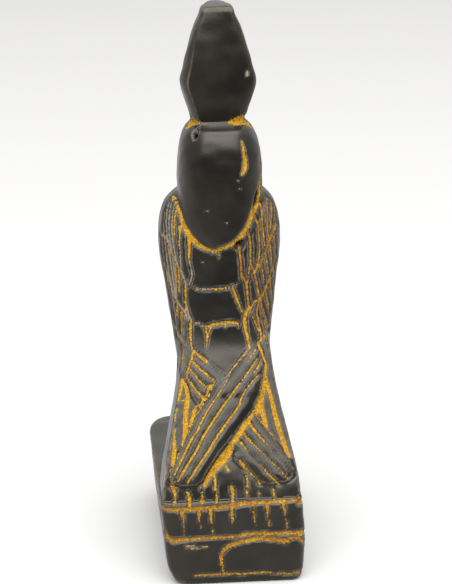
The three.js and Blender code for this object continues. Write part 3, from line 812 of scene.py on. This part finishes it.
# %% Strokes and fields of the tail
TAIL_LEFT = [
    [(182, 379.4, 2.6), (180.4, 390, 3), (178.6, 400, 2.6)],
    [(178.3, 400.4, 1.4), (184.4, 400.4, 1.4)],
    [(182.8, 381.3, 2.4), (186, 386.6, 4), (187.6, 393.8, 4.4), (187, 401.5, 4.8), (186, 411.2, 5),
     (185.2, 421.7, 5), (185.3, 433, 4.6), (182.8, 443, 1.2)],
    [(196.4, 406, 1.6), (194.4, 411, 4), (192.2, 418.6, 3.8), (189.6, 427, 1.4)],
    [(176.8, 407.3, 1), (175.4, 414, 1.2), (174.6, 421.7, 1.4)],
    [(174.9, 427.3, 1.2), (174.4, 437, 2), (174.6, 446, 3.6), (174, 456, 4.8), (172.6, 465, 3)],
]
TAIL_RIGHT = [
    [(265.8, 364, 2), (265, 372, 3), (264.6, 380, 3.4), (263.4, 390, 4), (261, 398.6, 6), (259, 406, 7),
     (257.4, 412, 5)],
    [(266.2, 378.5, 2.4), (268.9, 390, 3.8), (271.5, 399.6, 4.2), (274.2, 411, 4.6), (277, 422.7, 4.8),
     (280.4, 432.3, 4.6), (283.4, 441.7, 4.6), (286.4, 450.4, 4), (289.6, 456.6, 2.4)],
    [(261, 404, 4), (262.6, 412, 5.4), (264.6, 418.7, 4.6), (266.7, 427.4, 2.2)],
    [(252.6, 413.6, 2), (248, 420.8, 4.6), (244.6, 424.6, 5.4), (241.2, 430.6, 5.4), (236.6, 436.8, 4.6),
     (232.8, 442.4, 4)],
    [(232.4, 443, 3.4), (229.4, 449.6, 7), (226.8, 455, 8.4), (221.5, 461, 8.8), (217, 466, 7.4),
     (212.6, 471.6, 5.4), (208, 478, 4.4), (204.8, 485, 4)],
    [(226.4, 466.4, 2.4), (228, 470, 3)],
]
TAIL_TICKS = [
    [(171, 486.6, 3), (174.4, 489.4, 4.4), (175.2, 496, 2.6), (174.9, 505, 1.6)],
    [(187.6, 492.4, 3.4), (189.6, 499, 4.4), (189.4, 506.4, 3.4)],
    [(201.3, 486.6, 3), (202, 494, 2.2), (202.3, 504, 2.6)],
    [(214.3, 475, 3), (215.3, 487, 3.2), (216.4, 495, 2.2), (216.7, 503, 2.4)],
    [(231.6, 486.6, 3.4), (232.2, 490.6, 5), (233.4, 495.6, 3.4), (232.6, 500.6, 2.2)],
    [(246.5, 475.4, 2), (247.5, 486, 3), (247, 497.5, 1.6)],
    [(259.4, 492, 1), (259.2, 497.6, 1)],
    [(273.5, 487.9, 2), (273.9, 499.4, 2.4)],
]
# The pale line down the left edge of the tail slab is a painted highlight: a very shallow stroke filled with the
# pale dust colour.
TAIL_EDGE_PAINTED_HIGHLIGHT = [
    [(173.8, 397, 1), (171.6, 418, 1.6), (168.2, 438.8, 1.8), (165.8, 458, 1.6), (162.9, 488, 1.4)],
]

from_photo(TAIL_LEFT, steep=0.7, rust=0.1, fill=1.0)
from_photo(TAIL_RIGHT, steep=0.65, rust=0.2, fill=1.0)
from_photo(TAIL_TICKS, steep=0.9, rust=0.3, loose=0.4, fill=0.75)
# Painted highlight along the tail's left edge, in the pale dust colour.
from_photo(TAIL_EDGE_PAINTED_HIGHLIGHT, steep=0.12, flare=0.1, tone=0.0)

# %% [markdown]
# ### The base
#
# Two bold lines run round the base, with short ticks hanging from the upper one behind. Below the lower
# line a flake of stone came off and left a wavy step, which the ochre follows.

# %% Strokes on the back of the base
BASE_LINE_UPPER = [
    [(164.6, 508, 2), (168, 509.4, 4), (175.4, 510, 4.4), (188.7, 509.4, 4.6), (201, 508.9, 4.6),
     (216.3, 507.7, 4.8), (226.5, 506.7, 4.6), (239.8, 504.4, 5.4), (252, 502.6, 5.4), (267.4, 501.4, 5),
     (282.7, 500.8, 5), (292.9, 499.7, 4.4), (301.4, 498.4, 4)],
]
BASE_TICKS = [
    [(182, 511.6, 6.6), (182.6, 516, 4), (183.6, 522.7, 2)], [(183.6, 522.7, 1.4), (184.6, 536, 1.4)],
    [(199, 511.4, 4.8), (199.4, 519, 2.6), (201, 528.8, 1)],
    [(210.7, 511, 4.6), (211.2, 518, 3), (211.7, 525, 2.2)], [(212.6, 530, 0.8), (213.2, 535, 0.8)],
    [(231.6, 508.6, 4.4), (232.6, 516.6, 2.8), (232.6, 525.8, 1.4)],
    [(253, 505.6, 3), (253.6, 512.5, 2.2), (255.6, 525.8, 1)],
    [(266.9, 504.6, 4.4), (267.9, 514, 2.2), (269.4, 526, 2.6)],
    [(283.2, 503.6, 4.4), (285.2, 512.5, 1.8), (287.8, 531, 2)],
]
BASE_LINE_LOWER = [
    [(163.8, 528.8, 1.4), (165.4, 534, 2), (168.6, 539, 3.6), (173.6, 541.4, 6), (178, 540.4, 5),
     (190.8, 539.2, 3.6), (204, 538.2, 3.4), (216.3, 537.7, 3.4), (226.5, 537.4, 3), (239.8, 536.2, 3),
     (246, 534, 4), (257.1, 533.4, 4.2), (272.5, 534, 4), (287.8, 533.4, 4), (302.6, 532.6, 4)],
]
FLAKE_EDGE = [
    [(224.4, 573.8, 2), (221.9, 565.6, 3), (220.9, 556.8, 4), (223.6, 551, 4.4), (229.6, 545.9, 4.4),
     (241.8, 541.6, 4.6), (257.1, 538.6, 5), (272.5, 539.4, 5), (286.4, 541.8, 5), (291, 538.4, 4),
     (297, 537.2, 3), (302, 540, 2), (304.4, 543.4, 1.4)],
]
BASE_FOOT_LINE = [
    [(194.8, 575.8, 1.6), (206, 575.3, 2.4), (222.4, 573.9, 2.4), (241.8, 574.3, 2.2), (262.3, 572.4, 2),
     (287.8, 574.2, 1.8), (302.6, 572.2, 2)],
]
BASE_TOOL_MARKS = [
    [(184, 546.6, 1), (196, 545.4, 1)], [(186, 549, 0.8), (198, 548.6, 0.8)], [(200, 547, 0.7), (207, 546.6, 0.7)],
]

from_photo(BASE_LINE_UPPER, steep=0.8, rust=0.5, loose=0.4, fill=0.8)
from_photo(BASE_TICKS, steep=0.8, rust=0.5, loose=0.4, fill=0.75)
from_photo(BASE_LINE_LOWER, steep=0.8, rust=0.5, loose=0.4, fill=0.8)
from_photo(FLAKE_EDGE, steep=0.5, rust=0.5, loose=0.5, fill=0.8)
from_photo(BASE_FOOT_LINE, steep=0.8, tone=0.7, rust=0.5, loose=0.4)
from_photo(BASE_TOOL_MARKS, steep=0.8, tone=0.4, loose=0.5)
print(len(strokes), "strokes on the back")

# %% [markdown]
# ### Sides and front, by rule
#
# The photograph stops at the outline, so the sides and the front carry the same kinds of stroke, fewer and
# plainer. Here a stroke is written on a plane, as seen square from the side, the front or above, and is
# carried onto the body along that direction. A small seeded wander keeps the lines from looking ruled.

# %% Carrying strokes on from a side
OUTSIDE = 60.0
wander = np.random.default_rng(11)


def along(lines, origin, axes, shake=0.12, **how):
    """Strokes as (u, v, half width) in mm on the plane through origin; axes are the u, v and inward directions."""
    u_axis, v_axis, inward = np.array(axes, float)
    lines = [spaced(line, 1.2) for line in lines]
    u, v, halves = np.concatenate(lines).T
    shaken = np.concatenate([np.sin(np.linspace(0, math.pi, len(line))) for line in lines])
    u = u + shake * wander.standard_normal(len(u)) * shaken
    start = np.array(origin, float) + np.outer(u, u_axis) + np.outer(v, v_axis)
    places = land(start, np.repeat(inward[None], len(u), axis=0), 0, 2 * OUTSIDE, 80)
    cut(lines, places, halves, look(**how))


X, Y, Z = np.eye(3)


def on_side(side, lines, **how):
    """Lines as (y, z, half width) on the falcon's left (side = 1) or right (side = -1)."""
    along(lines, X * side * OUTSIDE, (Y, Z, -X * side), **how)


def on_front(lines, **how):
    """Lines as (x, z, half width) seen from the front."""
    along(lines, -Y * OUTSIDE, (X, Z, Y), **how)


# %% Wing feathers on the sides
WING_FRONT = [[54, 3.2], [57.6, 0.5], [64.3, -6], [73.6, -9.5], [84.2, -11], [92.2, -10.5], [97.7, -8]]
ROW_ENDS = [
    [(2.4, 88.5), (-2, 92.6), (-7.6, 97)], [(2.4, 80), (-3, 85.4), (-9.8, 91)],
    [(2.4, 65), (-2, 69.4), (-8, 77)],
]
FEATHER_GAP = 2.0
FEATHER_HALF = 0.24
LAST_Y = 1.6


def wing_front(z):
    """The y of the wing's front edge at a height."""
    return through(z, *np.array(WING_FRONT).T)


def feathers_between(top, bottom, shift):
    """Lines that keep their distance from the wing's front edge, cut off where two row ends pass."""
    lines = []
    for k in range(7):
        z = np.linspace(99, 55, 60)
        y = wing_front(z) + (k + shift) * FEATHER_GAP
        low = np.interp(y, *np.array(bottom)[::-1].T) if bottom else np.full(60, 55.0)
        high = np.interp(y, *np.array(top)[::-1].T) if top else np.full(60, 98.4)
        keep = (z > low + 0.4) & (z < high - 0.2) & (y < LAST_Y)
        if keep.sum() > 4:
            lines.append([(y[i], z[i], FEATHER_HALF) for i in np.flatnonzero(keep)[::4]])
    return lines


for side, tone in ((1, 0.35), (-1, 0.75)):
    rows = [None] + ROW_ENDS + [None]
    for i in range(4):
        on_side(side, feathers_between(rows[i], rows[i + 1], 0.9 + 0.5 * (i % 2)), tone=tone)
    on_side(side, [[(y, z, 0.26) for y, z in end] for end in ROW_ENDS], tone=tone)
    edge_z = np.linspace(98, 56, 22)
    on_side(side, [[(wing_front(z) + 0.2, z, 0.42) for z in edge_z]], tone=0.85)
print(len(strokes), "strokes with the wing sides")

# %% Wig, face and breast
EYE = (5.3, 110.4)
EYE_SIZE = (1.7, 1.45)


def ring(centre, size, half, count=20):
    """A closed loop: cosine and sine round a centre."""
    t = np.linspace(0, 2 * math.pi, count)
    return [(centre[0] + size[0] * math.cos(v), centre[1] + size[1] * math.sin(v), half) for v in t]


for side in (1, -1):
    on_front([ring((side * EYE[0], EYE[1]), EYE_SIZE, 0.26)], tone=0.9, shake=0.03)
    on_front([[(side * 6.9, 111.2, 0.24), (side * 8, 111.6, 0.2)],
              [(side * 4.8, 108.6, 0.26), (side * 5, 106.6, 0.34), (side * 5.8, 104.8, 0.3),
               (side * 6.6, 103.8, 0.2)],
              [(side * 6.8, 109.2, 0.2), (side * 7.6, 107.4, 0.26), (side * 8, 105.6, 0.2)]], tone=0.85, shake=0.04)
    on_side(side, [[(-16.8, 106.2, 0.16), (-14.4, 107.4, 0.22), (-11.6, 107.2, 0.24)],
                   [(-14.2, 110.4, 0.3), (-13.7, 110.5, 0.3)]], tone=0.6, shake=0.02)
    wig_y = -1.6 if side > 0 else 1.4
    on_side(side, [[(wig_y - 0.4, 117.5, 0.3), (wig_y - 0.8, 111, 0.36), (wig_y, 104, 0.36),
                    (wig_y + 1.4, 99.4, 0.3)]], tone=0.9)
on_front([[(-11, 101.4, 0.2), (-6, 99.2, 0.34), (0, 98.4, 0.36), (6, 99.2, 0.34), (11, 101.4, 0.2)],
          [(-11.6, 98, 0.2), (-6, 95.8, 0.32), (0, 95, 0.34), (6, 95.8, 0.32), (11.6, 98, 0.2)]], tone=0.8)
on_front([[(x, 97.9 + 0.018 * x * x, 0.2), (x, 95.4 + 0.018 * x * x, 0.24)] for x in np.arange(-9, 9.1, 2.25)],
         tone=0.75)
for row, z in enumerate(np.arange(91, 64, -4.2)):
    x_marks = np.arange(-8 + 1.6 * (row % 2), 8.1, 3.2)
    on_front([[(x, z + 0.02 * x * x, 0.16), (x, z - 1.9 + 0.02 * x * x, 0.26)] for x in x_marks], tone=0.6)

# %% Thighs, toes and the line under the bird
for side in (1, -1):
    for k, x in enumerate((2.6, 4.4, 6.2, 8)):
        on_front([[(side * x, 57 - k, 0.18), (side * (x + 0.3), 49, 0.28), (side * (x * 0.9 + 0.6), 41 + k, 0.16)]],
                 tone=0.7)
    on_front([[(side * 3.2, 36.5, 0.2), (side * 5.6, 35.6, 0.3), (side * 8, 36.5, 0.2)],
              [(side * 3.4, 33, 0.2), (side * 5.7, 32.2, 0.3), (side * 8, 33, 0.2)]], tone=0.7)
    toes = [[(side * (6.3 + 1.1 * k), -19.5, 0.2), (side * (6.3 + 1.5 * k), -27.4, 0.34)] for k in (-1, 1)]
    along(toes, Z * OUTSIDE, (X, Y, -Z), tone=0.85)

# %% The two lines and the foot line, carried on round the base
UPPER_LINE_Z = 21.9
LOWER_LINE_Z = 13.4
FOOT_LINE_Z = 2.5
BACK_HALF_ANGLE = 36.0


def round_base(z, half, tone, first=BACK_HALF_ANGLE, last=360 - BACK_HALF_ANGLE, wave=0.25):
    """A line round the sides and the front of the base: the base's own outline at a height that sways a little."""
    t = np.linspace(math.radians(first), math.radians(last), 150)
    z = z + wave * np.sin(5 * t + z) + 0.4 * wave * np.sin(13 * t)
    radius = surface_radius(base, t, z)
    cut([t], ring_points(radius, t, z), np.full(len(t), half), look(0.8, tone=tone, rust=0.5))


round_base(UPPER_LINE_Z, 0.55, 0.7)
round_base(LOWER_LINE_Z, 0.5, 0.65)
round_base(FOOT_LINE_Z, 0.3, 0.6, first=150)
for side in (1, -1):
    y_marks = np.arange(-24, 26, 7.4) + wander.uniform(-1.6, 1.6, 7)
    drops = wander.uniform(3, 6.5, 7)
    on_side(side, [[(y, UPPER_LINE_Z - 0.3, 0.5), (y + 0.2, UPPER_LINE_Z - 0.4 * drop, 0.3),
                    (y + 0.1, UPPER_LINE_Z - drop, 0.18)] for y, drop in zip(y_marks, drops)], tone=0.7)
on_front([[(x, UPPER_LINE_Z - 0.3, 0.5), (x + 0.2, UPPER_LINE_Z - 2.2, 0.3), (x, UPPER_LINE_Z - 4.6, 0.2)]
          for x in (-9.5, -3.2, 3.4, 9.2)], tone=0.7)
print(len(strokes), "strokes in all")

# %% [markdown]
# ## Carving
#
# Now every point of the skin is asked how near it is to each stroke. Inside a stroke it sinks along its own
# normal, like a round-bottomed gouge. The same distances are kept as attributes, so that the stone's
# material knows where ochre lies, how yellow it is, how deep each cut is, and which edges are worn. Worn edges
# are painted paler, partly as wear and partly as a painted highlight, and the deepest cuts get painted shade.

# %% Distances to the strokes
LEAST_HALF = 0.21
DEEPEST = 0.7
FIELD = 0.6


def grid_normals(p):
    """The cross product of the steps along the rows and down the columns, made one long."""
    across = np.roll(p, -1, axis=1) - np.roll(p, 1, axis=1)
    n = np.cross(across, np.gradient(p, axis=0))
    return n / np.maximum(np.linalg.norm(n, axis=-1, keepdims=True), 1e-9)


def stroke_fields(points):
    """For each point: the cut's depth, how far inside a filling it is, and the tone, rust and looseness there."""
    depth = np.zeros(len(points))
    fill = np.full(len(points), -FIELD)
    powder_and_highlight = np.tile([0.5, 0.2, 0.2], (len(points), 1))
    for places, halves, (steep, flare, tone, rust, loose, share) in strokes:
        halves = np.maximum(halves, LEAST_HALF)
        margin = halves.max() + max(FIELD, flare)
        near = ((points > places.min(axis=0) - margin) & (points < places.max(axis=0) + margin)).all(axis=1)
        near = np.flatnonzero(near)
        start, run = places[:-1], np.diff(places, axis=0)
        length = np.maximum((run ** 2).sum(axis=1), 1e-9)
        off = points[near][:, None] - start
        t = np.clip((off * run).sum(axis=2) / length, 0, 1)
        half = halves[:-1] + np.diff(halves) * t
        apart = np.linalg.norm(off - t[..., None] * run, axis=2)
        pick = np.arange(len(near)), (apart - half).argmin(axis=1)
        d, half = apart[pick], half[pick]
        wall = np.clip((d - 0.5 * half) / (0.5 * half + flare), 0, 1)
        depth[near] = np.maximum(depth[near], steep * half * (1 - wall) ** 1.25)
        if share > 0:
            inside = half * share - d
            nearer = near[inside > fill[near]]
            powder_and_highlight[nearer] = tone, rust, loose
            fill[near] = np.maximum(fill[near], inside)
    return depth, fill, powder_and_highlight


# %% Unevenness of handwork
def sway(p, size, seed, waves=9):
    """A smooth wandering value: the mean of sine waves of one length in seeded directions."""
    draw = np.random.default_rng(seed)
    heading = draw.standard_normal((waves, 3))
    heading *= (2 * math.pi / size) / np.linalg.norm(heading, axis=1)[:, None] * draw.uniform(0.7, 1.4, (waves, 1))
    return np.sin(p @ heading.T + draw.uniform(0, 2 * math.pi, waves)).sum(axis=-1) / math.sqrt(waves)


def carve(p):
    """Smooth skin in, carved skin and its fields out."""
    n = grid_normals(p)
    flat = p.reshape(-1, 3)
    depth, fill, powder_and_highlight = stroke_fields(flat)
    sunk = np.where(depth > 1.2, depth, DEEPEST * np.tanh(depth / DEEPEST))
    standing = step(0.6, 2.5, flat[:, 2])
    uneven = (0.09 * sway(flat, 14, 1) + 0.035 * sway(flat, 4.5, 2)) * standing
    rise = tip_height(flat) + uneven - sunk
    return p + n * rise.reshape(p.shape[:2])[..., None], depth, fill, powder_and_highlight


carved, depth, fill, powder_and_highlight = carve(skin)
print("deepest cut", round(float(depth.max()), 2), "mm; in ochre", round(float((fill > 0).mean()) * 100, 1), "%")


# %% Worn edges, which also carry a painted highlight
def outward_bend(p):
    """How sharply the skin bends outwards, in 1/mm: second differences both ways, against the normal."""
    n = grid_normals(p)
    bend = np.zeros(p.shape[:2])
    for axis in (0, 1):
        ahead = np.roll(p, -1, axis=axis) - p
        behind = np.roll(p, 1, axis=axis) - p
        gap = np.maximum(np.linalg.norm(ahead, axis=-1) * np.linalg.norm(behind, axis=-1), 0.01)
        bend -= ((ahead + behind) * n).sum(axis=-1) / gap
    bend[[0, -1]] = 0
    return bend


# Outward bends are painted paler: partly wear, partly a painted edge highlight.
worn_and_highlit = step(0.3, 1.6, outward_bend(carved))


# %% The mesh
def statue_mesh(grid, top, sole):
    """Quads between neighbouring rows and columns, and a fan of triangles at the crown and at the sole.

    Corners go across first and then down, as grid_normals does, so every face points outwards.
    """
    rows, columns = grid.shape[:2]
    i, j = np.meshgrid(np.arange(rows - 1), np.arange(columns), indexing="ij")
    k = (j + 1) % columns
    quads = np.stack([i * columns + j, i * columns + k, (i + 1) * columns + k, (i + 1) * columns + j], axis=-1)
    ring_now, ring_next = np.arange(columns), (np.arange(columns) + 1) % columns
    last = (rows - 1) * columns
    top_id, sole_id = rows * columns, rows * columns + 1
    fan = np.stack([np.full(columns, top_id), ring_next, ring_now], axis=1)
    sole_fan = np.stack([np.full(columns, sole_id), last + ring_now, last + ring_next], axis=1)
    points = np.concatenate([grid.reshape(-1, 3), [top, sole]])
    mesh = bpy.data.meshes.new("falcon_god")
    faces = quads.reshape(-1, 4).tolist() + fan.tolist() + sole_fan.tolist()
    mesh.from_pydata(((points + HEAD_LINE) * MM).tolist(), [], faces)
    mesh.shade_smooth()
    return mesh


def keep_field(mesh, name, values, at_poles):
    """One number for each point of the mesh, which a material reads by name."""
    field = mesh.attributes.new(name, "FLOAT", "POINT")
    field.data.foreach_set("value", np.concatenate([np.ravel(values), [at_poles] * 2]).astype(np.float32))


mesh = statue_mesh(carved, top_pole, sole_pole)
keep_field(mesh, "ochre", np.clip(0.5 + fill / (2 * FIELD), 0, 1), 0)
for name, values in zip(("tone", "rust", "loose"), powder_and_highlight.T):
    keep_field(mesh, name, values, 0.5)
keep_field(mesh, "worn_and_highlit", worn_and_highlit, 0)
keep_field(mesh, "depth", depth, 0)
statue = bpy.data.objects.new("falcon_god", mesh)
bpy.context.scene.collection.objects.link(statue)
print("statue has", sum(len(f.vertices) - 2 for f in mesh.polygons), "triangles")

# %% [markdown]
# ## One material: waxed black stone with ochre in its cuts
#
# Steatite-like stone is never flat black: it has warm brown clouds, fine grain, and faint vertical rasp
# marks that the polish didn't take out. Edges that bend outwards are paler and duller: partly wear where it was
# handled or cut, partly a painted highlight. The deepest cuts are painted near black, as painted shade. Ochre is a
# dry powder, so it is rough and matt, it breaks up at its edges, and it varies from lemon to rust.

# %% Small helpers for nodes
def node(tree, kind, **values):
    """Adds a node and sets its properties (lower case names) and its input values (by socket name)."""
    made = tree.nodes.new(kind)
    for key, value in values.items():
        name = key.replace("_", " ")
        if hasattr(made, key):
            setattr(made, key, value)
        else:
            made.inputs[name[0].upper() + name[1:]].default_value = value
    return made


def noise(tree, coordinates, scale, detail=3.0, roughness=0.55, stretch=None):
    """Cloudy noise on object coordinates; a stretch pulls it out along the axes."""
    made = node(tree, "ShaderNodeTexNoise", scale=scale, detail=detail, roughness=roughness)
    if stretch:
        mapping = node(tree, "ShaderNodeMapping", scale=stretch)
        tree.links.new(coordinates, mapping.inputs["Vector"])
        coordinates = mapping.outputs["Vector"]
    tree.links.new(coordinates, made.inputs["Vector"])
    return made.outputs["Fac"]


def ramp(tree, value, low, high, out_low=0.0, out_high=1.0):
    """A value moved smoothly from one range to another and held at its ends."""
    made = node(tree, "ShaderNodeMapRange", interpolation_type="SMOOTHSTEP")
    for name, number in zip(("From Min", "From Max", "To Min", "To Max"), (low, high, out_low, out_high)):
        made.inputs[name].default_value = number
    tree.links.new(value, made.inputs["Value"])
    return made.outputs["Result"]


def math_of(tree, operation, a, b):
    """One sum or product of two values; each is a socket or a number."""
    made = node(tree, "ShaderNodeMath", operation=operation)
    for socket, value in zip(made.inputs, (a, b)):
        if isinstance(value, (int, float)):
            socket.default_value = value
        else:
            tree.links.new(value, socket)
    return made.outputs["Value"]


def blend(tree, amount, first, second):
    """A mix of two colours, each a socket or three numbers."""
    made = node(tree, "ShaderNodeMix", data_type="RGBA")
    tree.links.new(amount, made.inputs["Factor"])
    for socket, colour in ((made.inputs[6], first), (made.inputs[7], second)):
        if isinstance(colour, tuple):
            socket.default_value = (*colour, 1)
        else:
            tree.links.new(colour, socket)
    return made.outputs[2]


def field(tree, name):
    """The numbers kept on the mesh under this name."""
    return node(tree, "ShaderNodeAttribute", attribute_name=name).outputs["Fac"]


# %% Stone and ochre
STONE_DARK = (0.0032, 0.0031, 0.0026)
STONE_BROWN = (0.0085, 0.0072, 0.0052)
# Pale stone for random grain flecks, and for worn edges, where it is also a painted highlight.
STONE_PALE_WEAR_AND_HIGHLIGHT = (0.11, 0.096, 0.07)
# Pale dust in the cuts; the same colour paints the highlight down the tail's left edge.
STONE_DUST_AND_HIGHLIGHT = (0.17, 0.145, 0.105)
OCHRE_LEMON = (0.36, 0.205, 0.003)
OCHRE_YELLOW = (0.25, 0.122, 0.003)
OCHRE_RUST = (0.17, 0.062, 0.004)
OCHRE_BROWN = (0.05, 0.027, 0.005)
# Near black for the deepest cuts: painted shade.
DEEP_CUT_PAINTED_SHADE = (0.001, 0.001, 0.001)


def stone_material():
    """Waxed stone, dust and ochre, mixed by the fields on the mesh and broken up by noise; worn edges also get a
    painted highlight and the deepest cuts get painted shade.
    """
    material = bpy.data.materials.new("carved_stone")
    material.use_nodes = True
    tree = material.node_tree
    shader = tree.nodes["Principled BSDF"]
    place = node(tree, "ShaderNodeTexCoord").outputs["Object"]
    clouds = noise(tree, place, 95, 4)
    flecks = noise(tree, place, 900, 4, 0.65)
    grain = noise(tree, place, 2600, 3, 0.7)
    crumbs = noise(tree, place, 1900, 2, 0.5)
    rasp = noise(tree, place, 2400, 2, 0.6, (1, 1, 0.035))

    stone = blend(tree, ramp(tree, clouds, 0.35, 0.7), STONE_DARK, STONE_BROWN)
    stone = blend(tree, ramp(tree, grain, 0.62, 0.85, 0, 0.12), stone, STONE_PALE_WEAR_AND_HIGHLIGHT)
    # Edges that bend outwards turn paler: wear, and a painted highlight on every outward bend.
    edge = math_of(tree, "MULTIPLY", field(tree, "worn_and_highlit"), ramp(tree, flecks, 0.35, 0.62, 0.25, 0.8))
    stone = blend(tree, edge, stone, STONE_PALE_WEAR_AND_HIGHLIGHT)

    crumbling = ramp(tree, field(tree, "loose"), 0, 1, 0.12, 1.1)
    break_up = math_of(tree, "MULTIPLY", crumbling, ramp(tree, crumbs, 0.3, 0.7, -0.2, 0.18))
    ragged = math_of(tree, "ADD", field(tree, "ochre"), break_up)
    filled = ramp(tree, ragged, 0.47, 0.55)
    haze = ramp(tree, ragged, 0.25, 0.55, 0, 0.12)
    rusty = math_of(tree, "ADD", field(tree, "rust"), ramp(tree, flecks, 0.3, 0.7, -0.35, 0.35))
    ochre = blend(tree, ramp(tree, crumbs, 0.42, 0.62), OCHRE_YELLOW, OCHRE_LEMON)
    ochre = blend(tree, ramp(tree, rusty, 0.1, 0.9), ochre, OCHRE_RUST)
    ochre = blend(tree, ramp(tree, grain, 0.5, 0.34, 0, 0.9), ochre, OCHRE_BROWN)
    yellow = ramp(tree, math_of(tree, "ADD", field(tree, "tone"), ramp(tree, flecks, 0.3, 0.7, -0.2, 0.2)),
                  0.15, 0.75)
    # The pale dust colour here is real dust in the cuts and also the painted highlight down the tail's left edge.
    powder_and_highlight = blend(tree, yellow, STONE_DUST_AND_HIGHLIGHT, ochre)
    colour = blend(tree, haze, stone, powder_and_highlight)
    colour = blend(tree, filled, colour, powder_and_highlight)
    # Painted shade: the deepest cuts, such as the peg hole, are coloured near black.
    colour = blend(tree, ramp(tree, field(tree, "depth"), 0.9, 1.4), colour, DEEP_CUT_PAINTED_SHADE)
    tree.links.new(colour, shader.inputs["Base Color"])

    polish = ramp(tree, clouds, 0.3, 0.75, 0.28, 0.36)
    dull = math_of(tree, "MAXIMUM", filled, edge)
    rough = node(tree, "ShaderNodeMix", data_type="FLOAT")
    tree.links.new(dull, rough.inputs["Factor"])
    tree.links.new(polish, rough.inputs[2])
    rough.inputs[3].default_value = 0.88
    tree.links.new(rough.outputs[0], shader.inputs["Roughness"])
    shader.inputs["Specular IOR Level"].default_value = 0.36
    shader.inputs["Specular Tint"].default_value = (1, 0.94, 0.84, 1)

    height = math_of(tree, "ADD", math_of(tree, "MULTIPLY", grain, 0.5), math_of(tree, "MULTIPLY", rasp, 0.5))
    height = math_of(tree, "ADD", height, math_of(tree, "MULTIPLY", flecks, 0.6))
    height = math_of(tree, "ADD", height, math_of(tree, "MULTIPLY", math_of(tree, "MULTIPLY", crumbs, filled), 2.5))
    bump = node(tree, "ShaderNodeBump", strength=0.35, distance=0.0001)
    tree.links.new(height, bump.inputs["Height"])
    tree.links.new(bump.outputs["Normal"], shader.inputs["Normal"])
    return material


mesh.materials.append(stone_material())

# %% [markdown]
# ## Floor and light
#
# Black stone shows its shape by what it mirrors. A soft window behind the camera puts a grey sheen on every
# slope that looks up, a soft light overhead does the same for the shoulders and the crown's top, and the
# pale room draws the rims along the sides. A dark card on the floor behind the statue, seen only in
# reflections, keeps upright faces black.


# %% Floor
def make_floor(size=6.0):
    """One large pale square under the statue."""
    h = size / 2
    mesh = bpy.data.meshes.new("floor")
    mesh.from_pydata([(-h, -h, 0), (h, -h, 0), (h, h, 0), (-h, h, 0)], [], [(0, 1, 2, 3)])
    floor = bpy.data.objects.new("floor", mesh)
    bpy.context.scene.collection.objects.link(floor)
    material = bpy.data.materials.new("floor")
    material.use_nodes = True
    shader = material.node_tree.nodes["Principled BSDF"]
    shader.inputs["Base Color"].default_value = (0.4, 0.4, 0.4, 1)
    shader.inputs["Roughness"].default_value = 0.9
    shader.inputs["Specular IOR Level"].default_value = 0.1
    mesh.materials.append(material)
    return floor


floor = make_floor()


# %% Lights and room
def soft_light(name, place, aim, size, power, colour=(1, 1, 1)):
    """A rectangular light of a given width and height that faces a point."""
    data = bpy.data.lights.new(name, "AREA")
    data.shape = "RECTANGLE"
    data.size, data.size_y = size
    data.energy = power
    data.color = colour
    lamp = bpy.data.objects.new(name, data)
    lamp.location = place
    lamp.rotation_euler = (Vector(aim) - Vector(place)).to_track_quat("-Z", "Y").to_euler()
    bpy.context.scene.collection.objects.link(lamp)
    return lamp


MIDDLE = (0, 0, 0.07)
soft_light("window", (0.05, 1.19, 0.92), MIDDLE, (1.6, 0.9), 30)
soft_light("overhead", (0, 0.3, 1.55), (0, 0.1, 0), (1.8, 1.3), 42)


def make_card(near=0.2, far=1.3, rise=0.4, half=0.9):
    """A grey card that lies behind the statue and turns up at its far edge, seen only by mirrored light."""
    mesh = bpy.data.meshes.new("dark_card")
    mesh.from_pydata([(-half, near, 0.0005), (half, near, 0.0005), (half, far, 0.0005), (-half, far, 0.0005),
                      (half, far, rise), (-half, far, rise)], [], [(0, 1, 2, 3), (3, 2, 4, 5)])
    card = bpy.data.objects.new("dark_card", mesh)
    bpy.context.scene.collection.objects.link(card)
    material = bpy.data.materials.new("dark_card")
    material.use_nodes = True
    material.node_tree.nodes["Principled BSDF"].inputs["Base Color"].default_value = (0.04, 0.04, 0.04, 1)
    material.node_tree.nodes["Principled BSDF"].inputs["Roughness"].default_value = 0.9
    mesh.materials.append(material)
    card.visible_camera = card.visible_diffuse = card.visible_shadow = False
    return card


card = make_card()

world = bpy.data.worlds.new("room")
world.use_nodes = True
world.node_tree.nodes["Background"].inputs["Color"].default_value = (1, 0.985, 0.96, 1)
world.node_tree.nodes["Background"].inputs["Strength"].default_value = 1.0
bpy.context.scene.world = world
bpy.context.scene.view_settings.view_transform = "Standard"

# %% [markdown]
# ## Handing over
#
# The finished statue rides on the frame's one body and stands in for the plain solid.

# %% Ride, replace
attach(statue, "root")
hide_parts("falcon_statue")
